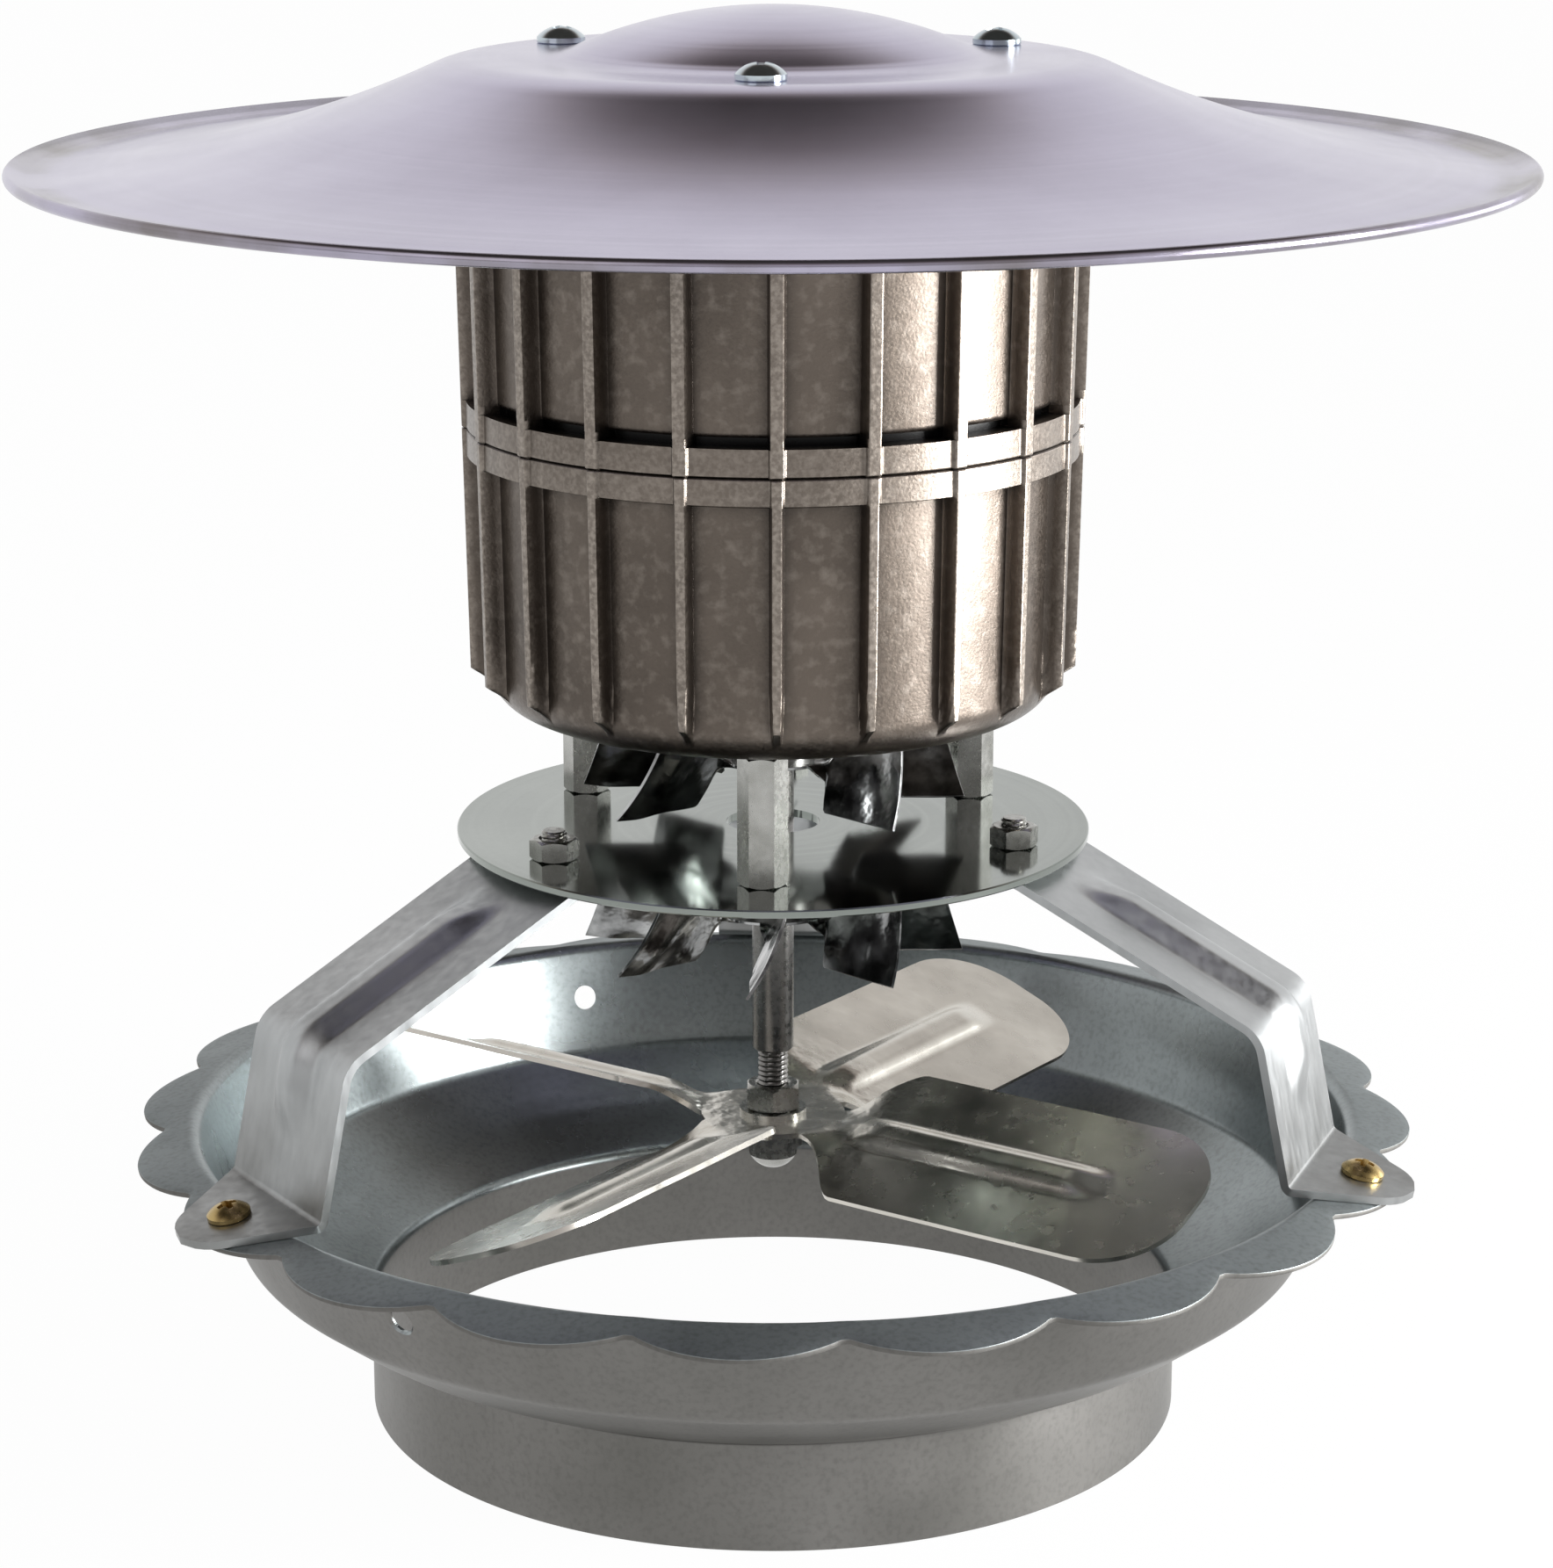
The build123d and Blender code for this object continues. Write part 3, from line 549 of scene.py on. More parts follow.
def add_piece(name, shape, body, slot, *nodes, edge=0.0, sharp=SHARP):
    """A piece that stands for CAD nodes, rides on a body and takes its finish from a slot."""
    mesh = to_mesh(name, shape)
    mesh.shade_smooth()
    mesh.set_sharp_from_angle(angle=math.radians(sharp))
    obj = bpy.data.objects.new(name, mesh)
    bpy.context.collection.objects.link(obj)
    if edge:
        modifier = obj.modifiers.new("edges", "BEVEL")
        modifier.width = edge * MM
        modifier.segments = 2
        modifier.limit_method = "ANGLE"
        modifier.angle_limit = math.radians(BEVEL_ANGLE)
        modifier.harden_normals = True
    obj.data.materials.append(MATERIALS[slot])
    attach(obj, body)
    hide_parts(*nodes)


# Sub-parts

def flange_z(radius):
    """Height of the flange's lower face."""
    return BOWL_LIP[1] - (radius - BOWL_LIP[0]) * math.tan(math.radians(FLANGE_SLOPE))


def flange_top(radius):
    return flange_z(radius) + BOWL_SHEET / math.cos(math.radians(FLANGE_SLOPE))


def lobe_edge(angle):
    """Radius of the scalloped flange's edge at an angle."""
    pitch = 360 / LOBE_COUNT
    off = math.radians((angle - FIRST_LOBE + pitch / 2) % pitch - pitch / 2)
    centre = LOBE_REACH - LOBE_R
    return centre * math.cos(off) + math.sqrt(LOBE_R**2 - (centre * math.sin(off)) ** 2)


def base_bowl():
    far = (LOBE_REACH, flange_z(LOBE_REACH))
    corners = [(COLLAR_R, 0), (COLLAR_R, COLLAR_CORNER_Z), BOWL_KNEE, BOWL_CREASE, BOWL_LIP, far]
    line = rounded(corners, (COLLAR_BEND, KNEE_BEND, CREASE_BEND, LIP_BEND))
    outline = sheet_loop(spaced(line, BOWL_STEP), BOWL_SHEET)

    def loop_at(angle):
        edge = lobe_edge(angle)
        reach = (edge - BOWL_LIP[0]) / (LOBE_REACH - BOWL_LIP[0])
        loop = []
        for r, z in outline:
            if r > BOWL_LIP[0]:
                drop = (r - BOWL_LIP[0]) * (1 - reach)
                r -= drop
                z += drop * math.tan(math.radians(FLANGE_SLOPE))
                z -= LOBE_DROOP * clamp((r - edge + LOBE_DROOP_W) / LOBE_DROOP_W) ** 2
            loop.append((r, z))
        return loop

    count = LOBE_COUNT * COLUMNS_PER_LOBE
    bowl = columns(loop_at, [FIRST_LOBE + 360 / count * (k + 0.5) for k in range(count)])
    for tool in wall_hole_tools():
        bowl = cut(bowl, tool)
    return bowl


def wall_hole_tools():
    """Drills for the holes in the steep wall, then countersinks square to it."""
    lean = math.atan2(BOWL_LIP[0] - BOWL_CREASE[0], BOWL_LIP[1] - BOWL_CREASE[1])
    wall_r = BOWL_CREASE[0] + (WALL_HOLE_Z - BOWL_CREASE[1]) * math.tan(lean)
    level = math.radians(90)
    drill = lathe(rod(WALL_HOLE_R, -DRILL_REACH, DRILL_REACH), HOLE_STEPS)
    wide = WALL_HOLE_R + 2 * WALL_HOLE_CHAMFER
    narrow = WALL_HOLE_R - WALL_HOLE_CHAMFER
    low = -2 * WALL_HOLE_CHAMFER
    high = WALL_HOLE_CHAMFER
    cone = lathe([(0, low), (narrow, low), (wide, high), (0, high)], HOLE_STEPS)
    places = [turn(azimuth, wall_r, WALL_HOLE_Z) for azimuth in WALL_HOLE_AZIMUTHS]
    for tool, tilt in ((drill, level), (cone, level + lean)):
        tool = moved(tool, Matrix.Rotation(tilt, 4, "Y"))
        yield joined(*[moved(tool, place) for place in places])


def foot_half_width(radius):
    """Half width of a leg at a radius: straight, then tapering to a round end."""
    start = ANKLE_R + LEG_SHEET
    half = LEG_W / 2
    if radius <= start:
        return half
    reach = math.hypot(FOOT_SCREW_R - start, half)
    bearing = math.atan2(half, start - FOOT_SCREW_R) - math.acos(FOOT_END_R / reach)
    touch = (FOOT_SCREW_R + FOOT_END_R * math.cos(bearing), FOOT_END_R * math.sin(bearing))
    if radius < touch[0]:
        return mix(half, touch[1], (radius - start) / (touch[0] - start))
    return math.sqrt(max(FOOT_END_R**2 - (radius - FOOT_SCREW_R) ** 2, FOOT_TIP**2))


def leg():
    """Leg along +X."""
    tab_z = PLATE_TOP - PLATE_SHEET - LEG_SHEET
    end = FOOT_SCREW_R + FOOT_END_R
    corners = [(TAB_INNER_R, tab_z), (TAB_BEND_R, tab_z), LEG_KNEE]
    corners += [(ANKLE_R, flange_top(ANKLE_R)), (end, flange_top(end))]
    line = spaced(rounded(corners, LEG_BENDS), LEG_STEP)
    middle = beside(line, LEG_SHEET / 2)
    normals = [(b - a).normalized() for a, b in zip(line, middle)]

    def crown(point, y):
        along = smooth(BEAD_START_R, BEAD_START_R + BEAD_RUN_OUT, point.x)
        along *= smooth(BEAD_END_Z, BEAD_END_Z + BEAD_RUN_OUT, point.y)
        return BEAD_H * along * (1 - smooth(BEAD_FLAT, 1.0, abs(y) / (BEAD_W / 2)))

    upper, lower = [], []
    for point, normal in zip(middle, normals):
        half = foot_half_width(point.x)
        for j in range(LEG_COLUMNS + 1):
            y = half * (2 * j / LEG_COLUMNS - 1)
            for grid, side in ((upper, LEG_SHEET / 2), (lower, -LEG_SHEET / 2)):
                place = point + normal * (side + crown(point, y))
                grid.append(Vector((place.x, y, place.y)))
    return upper + lower, sheet_faces(len(middle) - 1, LEG_COLUMNS)


def hex_bar(across_flats, bottom, top, bore=0.0):
    """Chamfered hexagonal bar or nut on the axis."""
    face = across_flats * HEX_FACE
    mouth = bore + BORE_CHAMFER if bore else 0.0
    sink = mouth - bore

    def loop_at(angle):
        corner = across_flats / 2 / math.cos(math.radians((angle + 30) % 60 - 30))
        drop = (corner - face) * math.tan(math.radians(HEX_CHAMFER))
        lower = [(bore, bottom + sink), (mouth, bottom), (face, bottom), (corner, bottom + drop)]
        upper = [(corner, top - drop), (face, top), (mouth, top), (bore, top - sink)]
        return lower + upper

    return columns(loop_at, range(0, 360, HEX_STEP))


def threaded(radius, bottom, top, pitch, above=()):
    """Threaded rod on the axis with chamfered ends, or with an outline above in place of its upper end."""
    rows = math.ceil((top - bottom) / pitch * THREAD_ROWS)

    def loop_at(angle):
        loop = [(0.0, bottom)]
        for k in range(rows + 1):
            z = mix(bottom, top, k / rows)
            phase = (z / pitch - angle / 360) % 1
            depth = THREAD_DEPTH * (1 - abs(2 * phase - 1))
            end = THREAD_CHAMFER - (z - bottom if above else min(z - bottom, top - z))
            loop.append((radius - max(depth, end), z))
        return loop + list(above or [(0.0, top)])

    return columns(loop_at, [360 / THREAD_SIDES * k for k in range(THREAD_SIDES)])


def pan_head(radius, height, recess):
    """Domed screw head on the XY plane with a cross recess."""
    drop = height * (1 - HEAD_EDGE)
    arc_r = (radius**2 + drop**2) / (2 * drop)
    half = math.asin(radius / arc_r)
    dome = []
    for k in range(DOME_ROWS, -1, -1):
        lean = half * k / DOME_ROWS
        dome.append((arc_r * math.sin(lean), height - arc_r * (1 - math.cos(lean))))
    head = lathe([(0, 0), (radius - HEAD_ROUND, 0), (radius, HEAD_ROUND)] + dome, HEAD_STEPS)
    return cut(head, cross_recess(recess, height))


def cross_recess(size, top):
    """Tapered cross that reaches down from a height."""
    arm = size * RECESS_ARM
    inner = arm * RECESS_CORNER
    star = []
    for k in range(4):
        for x, y in ((size / 2, -arm), (size / 2, arm), (inner, inner)):
            star.append(Matrix.Rotation(math.radians(90 * k), 2) @ Vector((x, y)))
    count = len(star)
    over = [Vector((p.x, p.y, top + 1)) for p in star]
    under = [Vector((*(p * RECESS_TAPER), top - size * RECESS_DEPTH)) for p in star]
    faces = [tuple(range(count)), tuple(range(2 * count - 1, count - 1, -1))]
    faces += [(k, k + count, (k + 1) % count + count, (k + 1) % count) for k in range(count)]
    return over + under, faces


def foot_place(azimuth):
    tilt = Matrix.Rotation(math.radians(FLANGE_SLOPE), 4, "Y")
    return turn(azimuth, FOOT_SCREW_R, flange_top(FOOT_SCREW_R)) @ tilt


def rib_radius(z):
    return HOUSING_R + (z - MOTOR_SPLIT) * math.tan(math.radians(HOUSING_TAPER))


def rib_share(angle, width):
    """1 on a rib, 0 on a panel, with drafted flanks between."""
    pitch = 360 / RIB_COUNT
    off = abs((angle - FIRST_RIB + pitch / 2) % pitch - pitch / 2)
    away = math.radians(off) * HOUSING_R
    return 1 - smooth(width / 2 - RIB_FLANK, width / 2, away)


def housing_angles():
    """Angles of the housing's columns, close together at the ribs' flanks."""
    pitch = 360 / RIB_COUNT
    side = [math.degrees(d / HOUSING_R) for d in RIB_COLUMNS] + [pitch / 2]
    offsets = [-a for a in side[:0:-1]] + side[:-1]
    return [FIRST_RIB + pitch * k + a for k in range(RIB_COUNT) for a in offsets]


def lower_housing():
    corner_z = MOTOR_BOTTOM + HOUSING_CORNER
    band_z = MOTOR_SPLIT - BAND_H
    band_r = HOUSING_R - BAND_STEP
    flat_r = rib_radius(corner_z) - RIB_H - HOUSING_CORNER
    rib_end = (flat_r + HOUSING_CORNER * RIB_END[0], MOTOR_BOTTOM + HOUSING_CORNER * RIB_END[1])
    heights = [MOTOR_BOTTOM + HOUSING_CORNER * (1 - math.cos(math.radians(a))) for a in CORNER_ROWS]
    heights += [mix(corner_z, band_z - BAND_FOOT, (k + 1) / LOWER_ROWS) for k in range(LOWER_ROWS)]
    heights += [band_z - BAND_FOOT / 2, band_z, band_z + BAND_BLEND, band_z + BAND_ROW]
    heights += [MOTOR_SPLIT - SEAM_H * share for share in reversed(SEAM_ROWS)]

    def outer(angle, z):
        panel = rib_radius(z) - RIB_H
        rib = rib_radius(z)
        if z < corner_z:
            lean = (corner_z - z) / HOUSING_CORNER
            panel = flat_r + HOUSING_CORNER * math.sqrt(max(0, 1 - lean**2))
            rib = mix(rib_radius(corner_z), rib_end[0], (corner_z - z) / (corner_z - rib_end[1]))
        panel = mix(panel, band_r, smooth(band_z - BAND_FOOT, band_z + BAND_BLEND, z))
        width = LOWER_RIB_W * mix(RIB_POINT, 1.0, smooth(rib_end[1], corner_z + HOUSING_CORNER, z))
        end_z = MOTOR_BOTTOM + RIB_END_RISE
        rib = mix(panel, rib, math.sqrt(clamp((z - end_z) / RIB_END_FADE)))
        seam = SEAM_DEPTH * smooth(MOTOR_SPLIT - SEAM_H, MOTOR_SPLIT, z)
        return max(panel, mix(panel, rib, rib_share(angle, width))) - seam

    def loop_at(angle):
        loop = [(SHAFT_HOLE_R, MOTOR_BOTTOM + SHAFT_HOLE_EDGE)]
        loop += [(r, MOTOR_BOTTOM) for r in (SHAFT_HOLE_R + SHAFT_HOLE_EDGE, BOTTOM_RING_R, flat_r)]
        loop += [(outer(angle, z), z) for z in heights]
        loop += [(STATOR_BORE_R, MOTOR_SPLIT), (STATOR_BORE_R, corner_z), (SHAFT_HOLE_R, corner_z)]
        return loop

    shell = columns(loop_at, housing_angles())
    pocket = rod(M4_HEAD_R + TIE_PLAY, MOTOR_BOTTOM - TIE_CUT, MOTOR_BOTTOM + M4_HEAD_H)
    ties = [azimuth + TIE_TURN for azimuth in SCREW_AZIMUTHS]
    return cut(shell, ringed(lathe(pocket, HOLE_STEPS), TIE_PCR, ties))


def upper_housing():
    band_z = MOTOR_SPLIT + BAND_H
    slot_z = band_z + SLOT_H
    band_r = HOUSING_R - BAND_STEP
    corner_z = MOTOR_TOP - TOP_CORNER
    heights = [MOTOR_SPLIT + SEAM_H * share for share in SEAM_ROWS]
    heights += [band_z - BAND_ROW, band_z - BAND_BLEND, band_z - BAND_BLEND / 3, band_z]
    heights += [slot_z, slot_z + SLOT_EDGE_H * 0.3, slot_z + SLOT_EDGE_H]
    heights += [mix(slot_z + 2 * SLOT_EDGE_H, corner_z, k / UPPER_ROWS) for k in range(UPPER_ROWS + 1)]
    heights += [MOTOR_TOP - TOP_ROW, MOTOR_TOP]

    def outer(angle, z, in_slot):
        rib = rib_radius(z)
        panel = band_r if z <= band_z else rib_radius(z) - RIB_H
        if z > corner_z:
            lean = (z - corner_z) / TOP_CORNER
            panel -= TOP_CORNER * lean
            rib = mix(rib, panel, lean)
        if in_slot:
            panel -= SLOT_DEPTH + (band_r - rib_radius(z) + RIB_H if z <= band_z else 0)
        elif z > slot_z:
            panel -= SLOT_EDGE * (1 - smooth(slot_z, slot_z + SLOT_EDGE_H, z))
        seam = SEAM_DEPTH * (1 - smooth(MOTOR_SPLIT, MOTOR_SPLIT + SEAM_H, z))
        return mix(panel, rib, rib_share(angle, UPPER_RIB_W)) - seam

    def loop_at(angle):
        loop = []
        for z in heights:
            if z == band_z:
                loop += [(outer(angle, z, False), z), (outer(angle, z, True), z)]
            elif z == slot_z:
                loop += [(outer(angle, z, True), z), (outer(angle, z + JUST_OVER, False), z)]
            else:
                loop.append((outer(angle, z, False), z))
        loop += [(SHAFT_HOLE_R, MOTOR_TOP), (SHAFT_HOLE_R, corner_z), (STATOR_BORE_R, corner_z)]
        return loop + [(STATOR_BORE_R, MOTOR_SPLIT)]

    return columns(loop_at, housing_angles())


def arc_through(a, b, c, step):
    """Points along the arc from a through b to c."""
    a, b, c = Vector(a), Vector(b), Vector(c)
    first = b - a
    second = c - a
    square = Vector((first.length_squared, second.length_squared)) / (2 * first.cross(second))
    x = second.y * square.x - first.y * square.y
    y = first.x * square.y - second.x * square.x
    return arc(a + Vector((x, y)), a, c, step)


def rain_cap():
    dome_h = CAP_DOME_Z - CAP_SHOULDER_Z
    dome_r = (CAP_DOME_FOOT_R**2 + dome_h**2) / (2 * dome_h)
    line = []
    for k in range(CAP_DOME_ROWS + 1):
        r = CAP_DOME_FOOT_R * k / CAP_DOME_ROWS
        line.append(Vector((r, CAP_DOME_Z - dome_r + math.sqrt(dome_r**2 - r**2))))
    line += arc_through((CAP_SHOULDER_R, CAP_SHOULDER_Z), CAP_SKIRT_MID, CAP_CREASE, CAP_ARC_STEP)
    brim = Vector((CAP_R - CAP_RIM_BEAD, CAP_BRIM_Z + CAP_LIP_H))
    lip = Vector((CAP_R - CAP_LIP_W, CAP_BRIM_Z - CAP_LIP_H))
    upper = softened(spaced(line + [lip, brim], CAP_STEP), CAP_SOFTNESS)
    lower = beside(upper, -CAP_SHEET)
    lower[0].x = 0.0
    centre = brim - Vector((0, CAP_SHEET / 2))
    turns = [math.radians(RIM_STEP * (k + 1)) for k in range(RIM_POINTS)]
    bead = [centre + CAP_RIM_BEAD * Vector((math.sin(a), math.cos(a))) for a in turns]
    # The rolled rim takes the place of the sheet's last points
    return lathe(upper[:-2] + bead + lower[-4::-1], CAP_STEPS)


def heat_plate():
    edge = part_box("heat_plate")[1].x / MM
    low = PLATE_TOP - PLATE_SHEET
    inner = edge - EDGE_ROUND
    rim = [(inner, low), (edge, low + EDGE_ROUND), (edge, PLATE_TOP - EDGE_ROUND), (inner, PLATE_TOP)]
    return lathe([(PLATE_BORE_R, low)] + rim + [(PLATE_BORE_R, PLATE_TOP)])


def twisted(place, y, lift, angle, share):
    """Point of a blade along +X at a place, a width and a lift, turned by a share of its angle."""
    a = math.radians(angle) * share
    return Vector((place, y * math.cos(a) - lift * math.sin(a), y * math.sin(a) + lift * math.cos(a)))


def root_sag(neck_w, hub_r, side):
    """How far a ring's edge falls back from its outermost point, across a blade's neck."""
    return hub_r - math.sqrt(hub_r**2 - (neck_w / 2 * side) ** 2)


def impeller_half_width(r):
    half = BLADE_W / 2
    shoulder = BLADE_ROOT_R + BLADE_SHOULDER
    if r < shoulder:
        return mix(NECK_W / 2, half, smooth(BLADE_ROOT_R - BLADE_NECK_BLEND, shoulder, r))
    into_tip = r - (IMPELLER_R - BLADE_TIP_BEND)
    if into_tip > 0:
        return half - BLADE_TIP_BEND + math.sqrt(max(BLADE_TIP_BEND**2 - into_tip**2, 0))
    return half


def impeller():
    length = IMPELLER_R - HUB_R

    def surface(u, v):
        side = 2 * v - 1
        r = HUB_R + length * u
        y = impeller_half_width(r) * side
        place = r - root_sag(NECK_W, HUB_R, side) * (1 - smooth(HUB_R, BLADE_ROOT_R + BLADE_SHOULDER, r))
        run = smooth(BLADE_RIB_START_R, BLADE_RIB_START_R + BLADE_RIB_RUN_OUT, r)
        run *= 1 - smooth(BLADE_RIB_END_R - BLADE_RIB_RUN_OUT, BLADE_RIB_END_R, r)
        rib = BLADE_RIB_H * run * (1 - smooth(BLADE_RIB_FLAT, 1.0, abs(y) / (BLADE_RIB_W / 2)))
        wave = math.sin(r / SHORT_WAVE[0] + y / SHORT_WAVE[1]) * math.cos(y / LONG_WAVE[1] - r / LONG_WAVE[0])
        wave *= BLADE_WAVE * smooth(HUB_R, BLADE_ROOT_R, r)
        return twisted(place, y, rib + wave, BLADE_ANGLE, smooth(HUB_R, BLADE_ROOT_R + TWIST_OVER, r))

    straight = length - BLADE_TIP_BEND
    us = [straight * k / BLADE_ROWS / length for k in range(BLADE_ROWS)]
    tip = [math.sin(math.radians(90 * k / TIP_ROWS)) for k in range(TIP_ROWS + 1)]
    us += [(straight + BLADE_TIP_BEND * share) / length for share in tip]
    vs = [k / BLADE_COLUMNS for k in range(BLADE_COLUMNS + 1)]
    azimuths = [FIRST_BLADE + 360 / BLADE_COUNT * k for k in range(BLADE_COUNT)]
    sheet = bladed_sheet(surface, us, vs, IMPELLER_SHEET, THREAD_R, HUB_R, NECK_W, azimuths)
    return moved(sheet, Matrix.Translation((0, 0, IMPELLER_Z + IMPELLER_SHEET / 2)))


def cooling_fan(fan_z):
    def surface(u, v):
        side = 2 * v - 1
        reach = FAN_R - FAN_RAKE * (side + 1) / 2
        r = mix(FAN_HUB_R, reach, u)
        opened = smooth(FAN_ROOT_R - FAN_NECK_BLEND[0], FAN_ROOT_R + FAN_NECK_BLEND[1], r)
        half = mix(FAN_NECK_W / 2, FAN_BLADE_W / 2, opened)
        place = r - root_sag(FAN_NECK_W, FAN_HUB_R, side) * (1 - smooth(FAN_HUB_R, FAN_ROOT_R, r))
        curl = FAN_CURL * smooth(FAN_ROOT_R, FAN_R, r) * side * side
        curl += FAN_WAVE * smooth(FAN_ROOT_R, FAN_R, r) * math.sin(r / FAN_WAVE_L + 2 * side)
        return twisted(place, half * side, curl, FAN_ANGLE, smooth(FAN_HUB_R, FAN_ROOT_R, r))

    us = [k / FAN_ROWS for k in range(FAN_ROWS + 1)]
    vs = [k / FAN_COLUMNS for k in range(FAN_COLUMNS + 1)]
    azimuths = [360 / FAN_BLADES * k for k in range(FAN_BLADES)]
    sheet = bladed_sheet(surface, us, vs, FAN_SHEET, SPIGOT_R, FAN_HUB_R, FAN_NECK_W, azimuths)
    return moved(sheet, Matrix.Translation((0, 0, fan_z - FAN_SHEET / 2)))


def motor_shaft():
    low, high = (corner.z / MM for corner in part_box("motor_shaft"))
    chamfer = [(SHAFT_R - SHAFT_CHAMFER, SHAFT_STEP_Z), (SHAFT_R, SHAFT_STEP_Z + SHAFT_CHAMFER)]
    return threaded(THREAD_R, low, SHAFT_STEP_Z, M6_PITCH, chamfer + [(SHAFT_R, high), (0, high)])


# Materials

def new_material(name, metallic, roughness):
    material = bpy.data.materials.new(name)
    material.use_nodes = True
    shader = material.node_tree.nodes["Principled BSDF"]
    shader.inputs["Metallic"].default_value = metallic
    shader.inputs["Roughness"].default_value = roughness
    return material, material.node_tree, shader


def add(tree, kind, **values):
    node = tree.nodes.new("ShaderNode" + kind)
    for key, value in values.items():
        setattr(node, key, value)
    return node


def place_of(tree):
    return add(tree, "TexCoord").outputs["Object"]


def noise(tree, scale, detail=4.0, stretch=None):
    """Noise over the object's own coordinates, in metres, optionally stretched."""
    place = place_of(tree)
    if stretch:
        mapping = add(tree, "Mapping")
        mapping.inputs["Scale"].default_value = stretch
        tree.links.new(place, mapping.inputs["Vector"])
        place = mapping.outputs["Vector"]
    node = add(tree, "TexNoise")
    node.inputs["Scale"].default_value = scale
    node.inputs["Detail"].default_value = detail
    tree.links.new(place, node.inputs["Vector"])
    return node.outputs["Fac"]


def ramp(tree, source, stops):
    """Colours along a source from 0 to 1."""
    node = add(tree, "ValToRGB")
    band = node.color_ramp
    while len(band.elements) < len(stops):
        band.elements.new(0.5)
    for element, (place, colour) in zip(band.elements, stops):
        element.position = place
        element.color = (*colour, 1)
    tree.links.new(source, node.inputs["Fac"])
    return node.outputs["Color"]


def shades(tree, source, dark, light, start=0.3, stop=0.7):
    """Colour that runs from dark to light as the source goes from start to stop."""
    return ramp(tree, source, ((start, dark), (stop, light)))


def scaled(colour, share):
    return tuple(min(1.0, c * share) for c in colour)


def spread(tree, source, low, high, start=0.3, stop=0.7):
    """A number that runs from low to high as the source goes from start to stop."""
    node = add(tree, "MapRange")
    for key, value in (("From Min", start), ("From Max", stop), ("To Min", low), ("To Max", high)):
        node.inputs[key].default_value = value
    tree.links.new(source, node.inputs["Value"])
    return node.outputs["Result"]


def bump(tree, shader, source, distance):
    node = add(tree, "Bump")
    node.inputs["Strength"].default_value = 1.0
    node.inputs["Distance"].default_value = distance * MM
    tree.links.new(source, node.inputs["Height"])
    tree.links.new(node.outputs["Normal"], shader.inputs["Normal"])


def math_node(tree, operation, *values):
    """A number worked out from sockets and plain numbers."""
    node = add(tree, "Math", operation=operation)
    for socket, value in zip(node.inputs, values):
        if isinstance(value, (int, float)):
            socket.default_value = value
        else:
            tree.links.new(value, socket)
    return node.outputs[0]


def axis_radius(tree):
    """Distance from the fan's axis, and height, in metres."""
    parts = add(tree, "SeparateXYZ")
    tree.links.new(place_of(tree), parts.inputs[0])
    squares = [math_node(tree, "POWER", parts.outputs[axis], 2) for axis in "XY"]
    return math_node(tree, "SQRT", math_node(tree, "ADD", *squares)), parts.outputs["Z"]


def turned_lines(tree, scale):
    """Fine lines round the axis, as a tool leaves them on a spinning sheet."""
    radius, z = axis_radius(tree)
    node = add(tree, "TexNoise", noise_dimensions="2D")
    node.inputs["Scale"].default_value = scale
    node.inputs["Detail"].default_value = 5.0
    both = add(tree, "CombineXYZ")
    tree.links.new(radius, both.inputs["X"])
    tree.links.new(z, both.inputs["Y"])
    tree.links.new(both.outputs[0], node.inputs["Vector"])
    return node.outputs["Fac"]


def blended(tree, share, first, second):
    """Colour between two colours, each a socket or plain values, by the Mix node's colour sockets."""
    node = add(tree, "Mix", data_type="RGBA")
    tree.links.new(share, node.inputs["Factor"])
    for socket, value in ((node.inputs[6], first), (node.inputs[7], second)):
        if isinstance(value, tuple):
            socket.default_value = (*value, 1)
        else:
            tree.links.new(value, socket)
    return node.outputs[2]


def dress(tree, shader, tone, rough):
    tree.links.new(tone, shader.inputs["Base Color"])
    tree.links.new(rough, shader.inputs["Roughness"])


def product(tree, first, second):
    return math_node(tree, "MULTIPLY", first, second)


def metal(name, dark, light, rough, grain, depth, cloud=18):
    """Metal whose colour drifts in clouds between two shades, with a fine grain."""
    material, tree, shader = new_material(name, 1.0, rough[0])
    tone = shades(tree, noise(tree, cloud, detail=6.0), dark, light)
    fine = noise(tree, grain, detail=3.0)
    dress(tree, shader, tone, spread(tree, fine, *rough))
    bump(tree, shader, fine, depth)
    return material


def spun_sheet(name, dark, light, rough, lines, depth, grain, rim_shade=None):
    """Sheet spun over a form: clouds of tone, faint lines round the axis, wiped patches, and brownish patches
    of painted shade and dark reflection in the dished rim.
    """
    material, tree, shader = new_material(name, 1.0, rough[0])
    tone = shades(tree, noise(tree, scale=14, detail=7.0), dark, light)
    # Painted shade and dark reflection: brownish patches in the dished rim
    if rim_shade:
        end_r = CAP_RIM_SHADE_R + CAP_RIM_SHADE_BLEND
        rim = spread(tree, axis_radius(tree)[0], 0.0, 1.0, start=CAP_RIM_SHADE_R * MM, stop=end_r * MM)
        patches = spread(tree, noise(tree, scale=22, detail=6.0), 0.1, 1.0, start=0.42, stop=0.62)
        tone = blended(tree, product(tree, rim, patches), tone, rim_shade)
    ring = turned_lines(tree, lines)
    shine = spread(tree, ring, 0.0, 0.25, start=0.45, stop=0.75)
    tone = blended(tree, shine, tone, scaled(light, 1.12))
    tone = blended(tree, specks(tree, grain), tone, scaled(dark, 0.6))
    dress(tree, shader, tone, spread(tree, noise(tree, scale=45, detail=4.0), *rough))
    bump(tree, shader, ring, depth)
    return material


def specks(tree, share):
    """Fine dark grain, up to a share."""
    return spread(tree, noise(tree, scale=900, detail=3.0), 0.0, share, start=0.45, stop=0.75)


